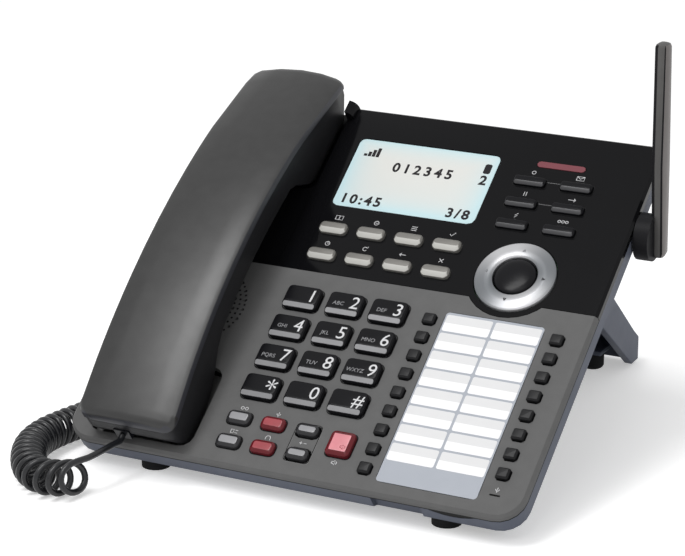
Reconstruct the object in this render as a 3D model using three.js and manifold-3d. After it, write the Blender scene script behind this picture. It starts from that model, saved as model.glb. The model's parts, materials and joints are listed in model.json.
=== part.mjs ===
// A desk telephone: a tilted console on a rear stand, a corded handset in its cradle and a folding antenna.
// Lengths are millimetres and angles degrees. The console is drawn on its sloping panel, with x across,
// y up the slope from the front crest and z off the panel. The desk's own frame has z straight up.

import * as THREE from "three";
import { mergeVertices } from "three/addons/utils/BufferGeometryUtils.js";
import Module from "manifold-3d";

const wasm = await Module();
wasm.setup();
const { Manifold, Mesh: SolidMesh } = wasm;

// Clearances that all pieces share
const GAP = 0.3;
const OVERRUN = 1;

// Console shells
const TILT = 35.6;
const CREST_HEIGHT = 14;
const BODY_WIDTH = 216;
const BODY_LENGTH = 200.3;
const FRONT_CORNER = 12;
const BACK_CORNER = 6;
const COVER_WALL = 2.4;
const COVER_RIM = 3.9;
const EDGE_BEVEL = 1.2;
const SPLIT_SHARE = 0.5247;
const BASE_SEAM = 0.4;
const BASE_REVEAL = 0.5;
const BASE_RIM = 11.3;
const BASE_DEPTH = 26;
const BASE_TAPER = 14;
const BASE_FLOOR_CORNER = 8;
const BASE_WALL = 2;

// Handset and the cradle that holds it
const HANDSET_X_SHARE = -0.33426;
const HANDSET_WIDTH = 48.4;
const HANDSET_FRONT = 2.2;
const HANDSET_OVERHANG = 8.7;
const HANDSET_CORNER = 6;
const HANDSET_PEAK = 30.2;
const HANDSET_PEAK_SHARE = 0.468;
const HANDSET_ARC_RADIUS = 340;
const HANDSET_CROWN = 1.2;
const HANDSET_WAIST = 0.85;
const HANDSET_BOW = 3;
const HANDSET_BOW_LENGTH = 59;
const HANDSET_EDGE = 2.5;
const HANDSET_END_EDGE = 2.4;
const HANDSET_WALL = 2.2;
const SEAM_DROP = 3.3;
const SEAM_STEP = 0.9;
const UNDER_EDGE = 2;
const GRIP_THICKNESS = 18.4;
const CAP_SEAT = 6.4;
const CAP_NOSE = 7.5;
const NOSE_LENGTH = 7;
const TAIL_LENGTH = 12;
const MOUTH_FLAT_SHARE = 0.1248;
const MOUTH_RAMP_SHARE = 0.2795;
const EAR_RAMP_LENGTH = 19;
const EAR_FLAT_LENGTH = 49;
const CRADLE_CLEARANCE = 1.6;
const POCKET_DEPTH = CAP_SEAT + GAP * 2;
const POCKET_FRONT = 4.8;
const POCKET_CORNER = 6;
const MOUTH_POCKET_SHARE = 0.2166;
const EAR_POCKET_LENGTH = 58;
const TROUGH_DEPTH = 2.1;
const CREASE_FRONT_WIDTH = 13.1;
const CREASE_BACK_WIDTH = 4.8;
const CREASE_DROP = 1.4;
const GUIDE_WIDTH = 4.2;
const GUIDE_LENGTH = 7;
const GUIDE_HEIGHT = 5.6;

// Handset capsules and their openings
const EAR_SETBACK = 31;
const MOUTH_CENTRE = 19;
const RECEIVER_RADIUS = 17;
const RECEIVER_THICKNESS = 7;
const CAPSULE_RADIUS = 4.9;
const CAPSULE_THICKNESS = 5;
const SOUND_HOLE_RADIUS = 1.3;
const SOUND_RING_RADIUS = 5.5;
const SOUND_RING_HOLES = 6;

// Loudspeaker and its grille
const GRILLE_SHIFT = 2.95;
const GRILLE_HOLE_RADIUS = 0.9;
const GRILLE_PITCH = 5;
const GRILLE_RINGS = 4;
const SPEAKER_MARGIN = 3.5;
const SPEAKER_FLANGE = 1.8;
const SPEAKER_CONE_DEPTH = 8;
const SPEAKER_MAGNET_RADIUS = 12;
const SPEAKER_DEPTH = 11;

// Hook switch plunger
const HOOK_RADIUS = 3;
const HOOK_FLANGE_RADIUS = 4.6;
const HOOK_FLANGE = 1.2;
const HOOK_TRAVEL = 3.5;

// Keys, each with a flange that stays under its cover
const KEY_LIP = 0.9;
const KEY_FLANGE = 2.2;
const KEY_SHOULDER = 0.8;
const CALL_KEY = { width: 15.3, depth: 5, radius: 1.6, rise: 2.2, inset: 0.9 };
const SMALL_KEY = { width: 11.2, depth: 6.5, radius: 2.4, rise: 2.2, inset: 0.9 };
const SPEAKER_KEY = { width: 11.4, depth: 12.1, radius: 2.2, rise: 2.6, inset: 1 };
const LINE_KEY = { width: 6.1, depth: 5.8, radius: 1.1, rise: 2, inset: 0.7, steps: 1 };
const DIAL_CORNER = 3;
const DIAL_RISE = 3;
const DIAL_INSET = 1;
const DIAL_GAP_X = 4;
const DIAL_GAP_Y = 4.3;
const MENU_DEPTH = 6;
const MENU_CORNER = 2.6;
const MENU_RISE = 2.4;
const MENU_INSET = 1;
const MENU_GAP = 5;
const MENU_COLUMNS = 4;
const CALL_ROWS = 3;
const ROCKER_FIT = 0.5;
const ROCKER_DROP = 0.8;
const LINE_LEFT_KEYS = 9;
const LINE_RIGHT_KEYS = 8;

// Places on the panel as shares of its width and its length: across and along, then a grid's pitch in both
const dialShares = [-0.1197, 0.4451, 0.0972, 0.0813];
const menuShares = [-0.125, 0.6461, 0.0864, 0.0744];
const callShares = [0.2505, 0.8513, 0.1031, 0.0616];
const smallShares = [-0.1368, 0.1178, 0.0766, 0.0609];
const lineLeftShares = [0.1639, 0.4479, 0, 0.0491];
const lineRightShares = [0.4393, 0.4464, 0, 0.0491];
const speakerKeyShares = [0.0963, 0.0989];
const navShares = [0.3028, 0.592];
const lampShares = [0.3032, 0.9051];

// Navigation ring, its centre key and the carrier under it
const NAV_INNER = 10.2;
const NAV_OUTER = 18.35;
const NAV_COLLAR = 21.6;
const NAV_FIT = 0.6;
const NAV_RISE = 2.4;
const NAV_DROP = 3.42;
const NAV_FLANGE = 0.7;
const NAV_KEY_RISE = 1.6;
const NAV_KEY_DISH = 0.6;
const NAV_KEY_DROP = 4.68;
const NAV_KEY_FLANGE = 0.8;
const GIMBAL_INNER = 11.3;
const GIMBAL_OUTER = 15;
const GIMBAL_DROP = 4.7;
const GIMBAL_THICKNESS = 0.7;

// Display, label card, lamp and microphone slot
const LCD_CREASE_GAP = 4.1;
const LCD_CALL_GAP = 10.4;
const LCD_MENU_GAP = 10.9;
const LCD_BACK_MARGIN = 17.45;
const LCD_CORNER = 3;
const WINDOW_LIP = 1.4;
const WINDOW_FLANGE = 0.9;
const CARD_LEFT_GAP = 3.4;
const CARD_RIGHT_GAP = 4.2;
const CARD_FRONT_MARGIN = 6.5;
const CARD_NAV_GAP = 1.9;
const CARD_CORNER = 2.5;
const CARD_RECESS = 1.9;
const CARD_PAPER = 0.35;
const CARD_LENS = 1;
const CARD_BACKING = 0.9;
const LAMP_WIDTH = 23;
const LAMP_DEPTH = 3.2;
const LAMP_RISE = 0.2;
const MIC_MARGIN = 13.4;
const MIC_Y = 10.3;
const MIC_WIDTH = 4.8;
const MIC_DEPTH = 0.9;

// Front rim: the finger notch beside the card and the lip next to it
const NOTCH_GAP = 1.5;
const NOTCH_WIDTH = 23;
const NOTCH_DEPTH = 3;
const NOTCH_LINER = 1.6;
const LIP_MARGIN = 18;
const LIP_WIDTH = 25;
const LIP_DROP = 3;

// Circuit board, its display block and the posts that carry it
const BOARD_CRADLE_GAP = 6.4;
const BOARD_SIDE_MARGIN = 5;
const BOARD_FRONT = 9;
const BOARD_BACK_MARGIN = 8.3;
const BOARD_TOP = 6.4;
const BOARD_THICKNESS = 1.6;
const BOARD_CORNER = 3;
const DISPLAY_MARGIN = 3.2;
const DISPLAY_TOP = 4;
const POST_RADIUS = 3;
const POST_INSET = 8;

// Rear stand, set back from the console's sides and its back edge
const STAND_INSET = 33;
const STAND_TOP_DEPTH = 21.3;
const STAND_SETBACK = 39;
const STAND_SPLAY = 85.94;
const STAND_HEEL_LENGTH = 8.7;
const STAND_HEEL_TOP = 13.2;
const STAND_KNEE_INSET = 6.8;
const STAND_KNEE_RISE = 5.1;
const STAND_CLEARANCE = 1.5;
const STAND_CHEEK = 4;
const STAND_BACK_WALL = 2.4;
const STAND_RIB = 2;
const STAND_RIB_X = 26;
const HOOK_TAB_INSET = 19;
const HOOK_TAB_WIDTH = 12;
const HOOK_TAB_LENGTH = 7;
const HOOK_TAB_HEIGHT = 6;
const HOOK_TAB_TOE = 2.2;

// Feet
const FOOT_INSET = 17.5;
const FOOT_SETBACK = 16.4;
const FOOT_RADIUS = 5.6;
const FOOT_HEIGHT = 8;
const FOOT_SHELF = 2.4;
const FOOT_SHELF_MARGIN = 1;
const FRONT_FOOT_INSET = 38;
const FRONT_FOOT_Y = 16;
const FRONT_FOOT_RADIUS = 6.5;

// Antenna and its pivot
const PIVOT_SETBACK = 42.2;
const PIVOT_DROP = 11.1;
const ANTENNA_THICKNESS = 6;
const ANTENNA_WIDTH = 10.3;
const ANTENNA_HEEL_WIDTH = 7.8;
const ANTENNA_TIP_WIDTH = 8.3;
const ANTENNA_LENGTH = 88;
const ANTENNA_BULGE = 33;
const ANTENNA_HEEL = 9;
const ANTENNA_OFFSET = 3.8;
const ANTENNA_BULGE_OFFSET = 0.8;
const ANTENNA_TIP_OFFSET = -1.8;
const ANTENNA_BEVEL = 1.8;
const HUB_RADIUS = 10.5;
const HUB_THICKNESS = 4.7;
const STEM_RADIUS = 3.4;
const STEM_LENGTH = 14;
const STEM_FIT = 0.3;
const PIVOT_BOSS_RADIUS = 6.4;

// Power inlet and cord jack
const INLET_X = 20;
const INLET_DROP = 17;
const INLET_RADIUS = 4.2;
const INLET_BLOCK = 6;
const INLET_BLOCK_LENGTH = 18;
const PLUG_WIDTH = 7.6;
const PLUG_HEIGHT = 5.6;
const PLUG_LENGTH = 11;
const PLUG_PROUD = 2.6;
const PLUG_BLOCK_WALL = 2;
const BASE_JACK_INSET = 26;
const BASE_JACK_Y = 88;
const HANDSET_JACK_OFFSET = 3.4;
const HANDSET_JACK_HEIGHT = 6.2;
const HANDSET_PLUG_PROUD = 0.6;

// Curly cord: the wire, its curls and the route of their axis on the desk
const WIRE_RADIUS = 1.3;
const WIRE_LIFT = 0.05;
const CURL_RADIUS = 6.8;
const CURL_COUNT = 33;
const CURL_PITCH = 4.4;
const CURL_STEPS = 8;
const CURL_SIDES = 5;
const OPEN_STRETCH = 7.5;
const OPEN_CURLS = 3;
const OPEN_LEAN = 7;
const OPEN_RAISE = 1.8;
const LEAN_TURN_SHARE = 0.04;
const LEAD_SIDES = 8;
const LEAD_STEP = 6;
const CURL_ROUTE = [
  [-80.3, -29.4],
  [-88.2, -32.9],
  [-97, -33.6],
  [-106, -28.3],
  [-114.2, -18],
  [-119.8, -6],
  [-121.3, 7],
  [-118.8, 21],
  [-114.6, 36],
  [-112.3, 52],
  [-111.8, 68],
  [-111.8, 91],
];
const LEAD_POINTS = [
  [-79.9, -9.8, 17.6],
  [-82.2, -18.4, 17],
];
const TAIL_POINTS = [
  [-100.5, 91.5, 2],
  [-91.5, 95, 6.4],
  [-84.6, 98.4, 16.5],
];

// Finishes, as the photograph shows them
const CHARCOAL = { color: 0x4a4a4b, roughness: 0.62, metalness: 0 };
const GLOSS_BLACK = { color: 0x17181a, roughness: 0.18, metalness: 0 };
const TRAY_GREY = { color: 0x3c4350, roughness: 0.6, metalness: 0 };
const SATIN_GREY = { color: 0x6e6f70, roughness: 0.42, metalness: 0.1 };
const RUBBER = { color: 0x17171a, roughness: 0.85, metalness: 0 };
const SILVER = { color: 0xb9bbbe, roughness: 0.28, metalness: 0.85 };
const GREY_KEY = { color: 0x8c8d92, roughness: 0.35, metalness: 0.3 };
const RED_KEY = { color: 0xa83a42, roughness: 0.4, metalness: 0 };
const CLEAR = { color: 0xdfe8ea, roughness: 0.08, metalness: 0, transparent: true, opacity: 0.35 };
const PAPER = { color: 0xb3bcc6, roughness: 0.7, metalness: 0 };
const BOARD_GREEN = { color: 0x2f5d3a, roughness: 0.55, metalness: 0 };
const STEEL = { color: 0x8d9094, roughness: 0.4, metalness: 0.8 };

const tilt = THREE.MathUtils.degToRad(TILT);
const fullTurn = Math.PI * 2;

// Closed solids from three.js geometry, and their joins and cuts

function solid(geometry) {
  const bare = geometry.clone();
  bare.deleteAttribute("normal");
  bare.deleteAttribute("uv");
  const merged = mergeVertices(bare);
  const vertProperties = merged.attributes.position.array;
  const triVerts = new Uint32Array(merged.index.array);
  return new Manifold(new SolidMesh({ numProp: 3, vertProperties, triVerts }));
}

function join(...bodies) {
  return Manifold.union(bodies);
}

function cut(body, ...tools) {
  return body.subtract(Manifold.union(tools));
}

function geometryOf(body) {
  const { vertProperties, triVerts } = body.getMesh();
  const geometry = new THREE.BufferGeometry();
  geometry.setAttribute("position", new THREE.BufferAttribute(new Float32Array(vertProperties), 3));
  geometry.setIndex(new THREE.BufferAttribute(new Uint32Array(triVerts), 1));
  return geometry;
}

// Rings of points joined side to side, with a fan over each end
function loft(rings) {
  const count = rings[0].length;
  const points = rings.flat();
  const index = [];
  for (let start = 0; start + count < points.length; start += count) {
    for (let i = 0; i < count; i += 1) {
      const a = start + i;
      const b = start + ((i + 1) % count);
      index.push(a, b, b + count, a, b + count, a + count);
    }
  }
  for (const [ring, start, turned] of [[rings[0], 0, true], [rings.at(-1), points.length - count, false]]) {
    const middle = ring.reduce((sum, point) => sum.add(point), new THREE.Vector3());
    const hub = points.push(middle.divideScalar(count)) - 1;
    for (let i = 0; i < count; i += 1) {
      const a = start + i;
      const b = start + ((i + 1) % count);
      index.push(...(turned ? [b, a, hub] : [a, b, hub]));
    }
  }
  const volume = signedVolume(points, index);
  const geometry = new THREE.BufferGeometry().setFromPoints(points);
  geometry.setIndex(volume < 0 ? index.reverse() : index);
  return solid(geometry);
}

function signedVolume(points, index) {
  let sum = 0;
  const cross = new THREE.Vector3();
  for (let i = 0; i < index.length; i += 3) {
    cross.crossVectors(points[index[i + 1]], points[index[i + 2]]);
    sum += points[index[i]].dot(cross);
  }
  return sum / 6;
}

// Outline of a rectangle with rounded corners, counter-clockwise, as points on the panel
function roundedOutline({ x, y, width, depth, radius, backRadius = radius, steps = 2 }) {
  const corners = [
    [1, 1, backRadius],
    [-1, 1, backRadius],
    [-1, -1, radius],
    [1, -1, radius],
  ];
  return corners.flatMap(([sideX, sideY, cornerRadius], corner) => {
    const centreX = x + sideX * (width / 2 - cornerRadius);
    const centreY = y + sideY * (depth / 2 - cornerRadius);
    return Array.from({ length: steps + 1 }, (_, step) => {
      const angle = ((corner + step / steps) * Math.PI) / 2;
      return new THREE.Vector2(centreX + cornerRadius * Math.cos(angle), centreY + cornerRadius * Math.sin(angle));
    });
  });
}

function atHeight(outline, z) {
  return outline.map((point) => new THREE.Vector3(point.x, point.y, z));
}

// Straight-sided solid between two heights
function prism(outline, bottom, top) {
  const shape = new THREE.Shape(outline);
  const geometry = new THREE.ExtrudeGeometry(shape, { depth: top - bottom, bevelEnabled: false });
  return solid(geometry.translate(0, 0, bottom));
}

function block(left, right, front, back, bottom, top) {
  const geometry = new THREE.BoxGeometry(right - left, back - front, top - bottom);
  return solid(geometry.translate((left + right) / 2, (front + back) / 2, (bottom + top) / 2));
}

function disc(x, y, radius, bottom, top, sides) {
  const geometry = new THREE.CylinderGeometry(radius, radius, top - bottom, sides).rotateX(Math.PI / 2);
  return solid(geometry.translate(x, y, (bottom + top) / 2));
}

// Turned solid about the panel's normal from a closed profile of radius and height
function turned(profile, segments) {
  const points = profile.map(([radius, z]) => new THREE.Vector2(radius, z));
  points.push(points[0].clone());
  return solid(new THREE.LatheGeometry(points, segments).rotateX(Math.PI / 2));
}

// Moves a geometry drawn in the desk's frame into the panel's
function ontoPanel(geometry) {
  return geometry.translate(0, 0, -CREST_HEIGHT).rotateX(-tilt);
}

function panelToDesk(x, y, z) {
  const point = new THREE.Vector3(x, y, z).applyAxisAngle(new THREE.Vector3(1, 0, 0), tilt);
  return point.add(new THREE.Vector3(0, 0, CREST_HEIGHT));
}

// Console shells

function bodyOutline(inset, radius = FRONT_CORNER - inset, backRadius = BACK_CORNER - inset) {
  const width = BODY_WIDTH - inset * 2;
  const depth = BODY_LENGTH - inset * 2;
  return roundedOutline({ x: 0, y: BODY_LENGTH / 2, width, depth, radius, backRadius, steps: 5 });
}

const halfBody = BODY_WIDTH / 2;
const splitAt = BODY_LENGTH * SPLIT_SHARE;
const handsetX = BODY_WIDTH * HANDSET_X_SHARE;
const handsetBack = BODY_LENGTH + HANDSET_OVERHANG;
const handsetLength = handsetBack - HANDSET_FRONT;
const handsetMiddle = (HANDSET_FRONT + handsetBack) / 2;
const earCentre = handsetBack - EAR_SETBACK;
const mouthPocketEnd = HANDSET_FRONT + handsetLength * MOUTH_POCKET_SHARE;
const earPocketStart = handsetBack - EAR_POCKET_LENGTH;
const grilleCentre = (mouthPocketEnd + splitAt) / 2 + GRILLE_SHIFT;
const speakerRadius = splitAt - SPEAKER_MARGIN - grilleCentre;
const pocketLeft = handsetX - HANDSET_WIDTH / 2 - CRADLE_CLEARANCE;
const pocketRight = handsetX + HANDSET_WIDTH / 2 + CRADLE_CLEARANCE;
const trayBottom = -POCKET_DEPTH - COVER_WALL;

// Rounded block over the cradle's width between two places up the slope
function cradleBlock(front, back, grow, bottom, top) {
  const width = pocketRight - pocketLeft + grow * 2;
  const depth = back - front + grow * 2;
  const radius = POCKET_CORNER + grow;
  const middle = (front + back) / 2;
  return prism(roundedOutline({ x: handsetX, y: middle, width, depth, radius, steps: 3 }), bottom, top);
}

// One lid over the whole console, which the split parts into the cover and the fascia
function lidBlank() {
  const outer = loft([
    atHeight(bodyOutline(0), -COVER_RIM),
    atHeight(bodyOutline(0), -EDGE_BEVEL),
    atHeight(bodyOutline(EDGE_BEVEL), 0),
  ]);
  const hollow = prism(bodyOutline(COVER_WALL), -COVER_RIM - OVERRUN, -COVER_WALL);
  return cut(outer, hollow);
}

function wholeWidth(front, back) {
  return block(-BODY_WIDTH, BODY_WIDTH, front, back, -BODY_LENGTH, BODY_LENGTH);
}

function keyHole(style, x, y, fit = GAP) {
  const { width, depth, radius, steps } = style;
  const size = { width: width + fit * 2, depth: depth + fit * 2, radius: radius + fit, steps };
  return prism(roundedOutline({ x, y, ...size }), -COVER_WALL - OVERRUN, OVERRUN);
}

// Place on the panel from its shares of the width and the length
function placeAt([acrossShare, alongShare]) {
  return [BODY_WIDTH * acrossShare, BODY_LENGTH * alongShare];
}

function grid(shares, columns, rows) {
  const [firstX, firstY] = placeAt(shares);
  const [pitchX, pitchY] = placeAt(shares.slice(2));
  const places = [];
  for (let row = 0; row < rows; row += 1) {
    for (let column = 0; column < columns; column += 1) {
      places.push([firstX + column * pitchX, firstY - row * pitchY]);
    }
  }
  return places;
}

const dialPlaces = grid(dialShares, 3, 4);
const menuPlaces = grid(menuShares, MENU_COLUMNS, 2);
const callPlaces = grid(callShares, 2, CALL_ROWS);
const smallPlaces = grid(smallShares, 3, 2);
const lineLeftPlaces = grid(lineLeftShares, 1, LINE_LEFT_KEYS);
const lineRightPlaces = grid(lineRightShares, 1, LINE_RIGHT_KEYS);
const rockerX = smallPlaces[2][0];
const [speakerKeyX, speakerKeyY] = placeAt(speakerKeyShares);
const [navX, navY] = placeAt(navShares);
const [lampX, lampY] = placeAt(lampShares);

const dialKey = {
  width: dialPlaces[1][0] - dialPlaces[0][0] - DIAL_GAP_X,
  depth: dialPlaces[0][1] - dialPlaces[3][1] - DIAL_GAP_Y,
  radius: DIAL_CORNER,
  rise: DIAL_RISE,
  inset: DIAL_INSET,
};
const menuKey = {
  width: menuPlaces[1][0] - menuPlaces[0][0] - MENU_GAP,
  depth: MENU_DEPTH,
  radius: MENU_CORNER,
  rise: MENU_RISE,
  inset: MENU_INSET,
};

// Place of the crease between the flat panel and its slope to the cradle
function creaseAt(y) {
  const share = (y - splitAt) / (BODY_LENGTH - splitAt);
  return pocketRight + THREE.MathUtils.lerp(CREASE_FRONT_WIDTH, CREASE_BACK_WIDTH, share);
}

// Rounded window between the crease, the call keys, the menu keys and the back edge
function displayWindow(grow) {
  const front = menuPlaces[0][1] + MENU_DEPTH / 2 + LCD_MENU_GAP;
  const back = BODY_LENGTH - LCD_BACK_MARGIN;
  const left = creaseAt((front + back) / 2) + LCD_CREASE_GAP;
  const right = callPlaces[0][0] - CALL_KEY.width / 2 - LCD_CALL_GAP;
  const width = right - left + grow * 2;
  const depth = back - front + grow * 2;
  return { x: (left + right) / 2, y: (front + back) / 2, width, depth, radius: LCD_CORNER };
}

function grilleHoles() {
  const holes = [disc(handsetX, grilleCentre, GRILLE_HOLE_RADIUS, -COVER_WALL - OVERRUN, OVERRUN, 5)];
  for (let ring = 1; ring <= GRILLE_RINGS; ring += 1) {
    const count = ring * 6;
    for (let i = 0; i < count; i += 1) {
      const angle = (i / count) * fullTurn;
      const x = handsetX + ring * GRILLE_PITCH * Math.cos(angle);
      const y = grilleCentre + ring * GRILLE_PITCH * Math.sin(angle);
      holes.push(disc(x, y, GRILLE_HOLE_RADIUS, -COVER_WALL - OVERRUN, OVERRUN, 5));
    }
  }
  return holes;
}

// The label card, between the two columns of line keys, the front edge and the ring
function cardOutline(grow) {
  const left = lineLeftPlaces[0][0] + LINE_KEY.width / 2 + CARD_LEFT_GAP;
  const right = lineRightPlaces[0][0] - LINE_KEY.width / 2 - CARD_RIGHT_GAP;
  const back = navY - NAV_COLLAR - CARD_NAV_GAP;
  const width = right - left + grow * 2;
  const depth = back - CARD_FRONT_MARGIN + grow * 2;
  const radius = CARD_CORNER + grow;
  return roundedOutline({ x: (left + right) / 2, y: (CARD_FRONT_MARGIN + back) / 2, width, depth, radius });
}

const lipX = halfBody - LIP_MARGIN - LIP_WIDTH / 2;
const notchX = lipX - LIP_WIDTH / 2 - NOTCH_GAP - NOTCH_WIDTH / 2;

// Lip of the front rim, a shallow bow below the seam
function frontLip(grow, back) {
  const half = LIP_WIDTH / 2 + grow;
  const shape = new THREE.Shape();
  shape.moveTo(-half, 0);
  shape.quadraticCurveTo(0, -(LIP_DROP + grow) * 2, half, 0);
  shape.lineTo(half, COVER_RIM - EDGE_BEVEL);
  shape.lineTo(-half, COVER_RIM - EDGE_BEVEL);
  const depth = back - BASE_REVEAL;
  const geometry = new THREE.ExtrudeGeometry(shape, { depth, bevelEnabled: false, curveSegments: 6 });
  return solid(geometry.rotateX(Math.PI / 2).translate(lipX, back, -COVER_RIM));
}

function topCover() {
  const lower = wholeWidth(-BODY_LENGTH, splitAt - GAP / 2);
  const collar = disc(navX, navY, NAV_COLLAR + GAP, -BODY_LENGTH, BODY_LENGTH, 32);
  const shell = lidBlank().intersect(lower);
  const tray = cradleBlock(POCKET_FRONT, mouthPocketEnd, COVER_WALL, trayBottom, -COVER_WALL / 2);
  const inside = wholeWidth(BASE_REVEAL + BASE_WALL + GAP, BODY_LENGTH);
  const backing = prism(cardOutline(OVERRUN), -CARD_RECESS - CARD_BACKING, -COVER_WALL / 2);
  const body = join(shell, tray.intersect(inside), backing, frontLip(0, COVER_WALL));
  const keys = [
    ...dialPlaces.map(([x, y]) => keyHole(dialKey, x, y)),
    ...smallPlaces.map(([x, y]) => keyHole(SMALL_KEY, x, y, x === rockerX ? ROCKER_FIT : GAP)),
    ...[...lineLeftPlaces, ...lineRightPlaces].map(([x, y]) => keyHole(LINE_KEY, x, y)),
    keyHole(SPEAKER_KEY, speakerKeyX, speakerKeyY),
  ];
  const pocket = cradleBlock(POCKET_FRONT, mouthPocketEnd, 0, -POCKET_DEPTH, OVERRUN);
  const card = prism(cardOutline(GAP), -CARD_RECESS, OVERRUN);
  const micX = halfBody - MIC_MARGIN;
  const slot = roundedOutline({ x: micX, y: MIC_Y, width: MIC_WIDTH, depth: MIC_DEPTH, radius: MIC_DEPTH / 3 });
  const micSlot = prism(slot, -COVER_WALL - OVERRUN, OVERRUN);
  return cut(body, collar, pocket, card, micSlot, ...grilleHoles(), ...keys);
}

// Wedge that lowers the black panel from its crease to the cradle
function creaseWedge() {
  const section = (y, creaseX) => [
    new THREE.Vector3(creaseX, y, 0),
    new THREE.Vector3(pocketRight, y, -CREASE_DROP),
    new THREE.Vector3(pocketRight, y, OVERRUN),
    new THREE.Vector3(creaseX, y, OVERRUN),
  ];
  const front = splitAt - OVERRUN;
  const back = BODY_LENGTH + OVERRUN;
  return loft([section(front, creaseAt(front)), section(back, creaseAt(back))]);
}

function cradleGuide() {
  const shape = new THREE.Shape();
  shape.moveTo(0, 0);
  shape.lineTo(GUIDE_WIDTH, 0);
  shape.quadraticCurveTo(GUIDE_WIDTH, GUIDE_HEIGHT * 0.85, 0, GUIDE_HEIGHT);
  const settings = { depth: GUIDE_LENGTH, bevelEnabled: false, curveSegments: 5 };
  const geometry = new THREE.ExtrudeGeometry(shape, settings).rotateX(Math.PI / 2);
  return solid(geometry.translate(pocketRight, BODY_LENGTH, -EDGE_BEVEL));
}

function fascia() {
  const upper = wholeWidth(splitAt + GAP / 2, BODY_LENGTH * 2);
  const collar = disc(navX, navY, NAV_COLLAR, -COVER_WALL - NAV_FLANGE, BODY_LENGTH, 32);
  const blank = lidBlank();
  const shell = join(blank.intersect(upper), blank.intersect(collar));
  const back = BODY_LENGTH + HANDSET_WIDTH;
  const trays = cradleBlock(earPocketStart, back, COVER_WALL, trayBottom, -COVER_WALL / 2);
  const troughFront = splitAt - POCKET_CORNER * 2;
  const troughBottom = -TROUGH_DEPTH - COVER_WALL;
  const troughTray = cradleBlock(troughFront, earPocketStart, COVER_WALL, troughBottom, -COVER_WALL / 2);
  const inside = wholeWidth(splitAt + GAP / 2, BODY_LENGTH);
  const body = join(shell, trays.intersect(inside), troughTray.intersect(inside));
  const window = roundedOutline({ ...displayWindow(GAP), radius: LCD_CORNER + GAP });
  const lamp = { width: LAMP_WIDTH, depth: LAMP_DEPTH, radius: LAMP_DEPTH / 2 - GAP / 3 };
  const holes = [
    prism(window, -COVER_WALL - OVERRUN, OVERRUN),
    keyHole(lamp, lampX, lampY),
    disc(navX, navY, NAV_OUTER + NAV_FIT, -BASE_DEPTH, OVERRUN, 32),
    ...menuPlaces.map(([x, y]) => keyHole(menuKey, x, y)),
    ...callPlaces.map(([x, y]) => keyHole(CALL_KEY, x, y)),
  ];
  const pocket = cradleBlock(earPocketStart, back, 0, -POCKET_DEPTH, OVERRUN);
  const trough = cradleBlock(troughFront, earPocketStart + POCKET_CORNER * 2, 0, -TROUGH_DEPTH, OVERRUN);
  const hook = disc(handsetX, earCentre, HOOK_RADIUS + GAP, -BASE_DEPTH, OVERRUN, 20);
  const carved = cut(body, pocket, trough, creaseWedge(), hook, ...holes);
  return join(carved, cradleGuide());
}

// A vertical boss under the tray's front edge, down to the desk
function mouldedFoot(x) {
  const geometry = new THREE.CylinderGeometry(FRONT_FOOT_RADIUS, FRONT_FOOT_RADIUS, CREST_HEIGHT, 20);
  geometry.rotateX(Math.PI / 2).translate(x, FRONT_FOOT_Y, CREST_HEIGHT / 2);
  return solid(ontoPanel(geometry));
}

const pivotEnd = halfBody - BASE_REVEAL;
const pivot = panelToDesk(0, BODY_LENGTH - PIVOT_SETBACK, -PIVOT_DROP);

function pivotGeometry(radius, from, to, sides) {
  const geometry = new THREE.CylinderGeometry(radius, radius, to - from, sides).rotateZ(Math.PI / 2);
  return geometry.translate((from + to) / 2, pivot.y, pivot.z);
}

const baseJackX = BASE_JACK_INSET - halfBody;

function baseJackOutline(grow) {
  const width = PLUG_WIDTH + grow * 2;
  const depth = PLUG_HEIGHT + grow * 2;
  return roundedOutline({ x: baseJackX, y: BASE_JACK_Y, width, depth, radius: grow + GAP, steps: 1 });
}

const halfStand = halfBody - STAND_INSET;
const standTopBack = BODY_LENGTH - STAND_SETBACK;
const standTopFront = standTopBack - STAND_TOP_DEPTH;
const footX = halfStand - FOOT_INSET;

function standSlot(side, fit) {
  const x = side * (halfStand - HOOK_TAB_INSET);
  const half = HOOK_TAB_WIDTH / 2 + fit;
  const front = standTopFront + (STAND_TOP_DEPTH - HOOK_TAB_LENGTH) / 2 - fit;
  const back = front + HOOK_TAB_LENGTH + fit * 2;
  return { left: x - half, right: x + half, front, back };
}

const boardLeft = pocketRight + BOARD_CRADLE_GAP;
const boardRight = halfBody - BOARD_SIDE_MARGIN;
const boardBack = BODY_LENGTH - BOARD_BACK_MARGIN;

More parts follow.
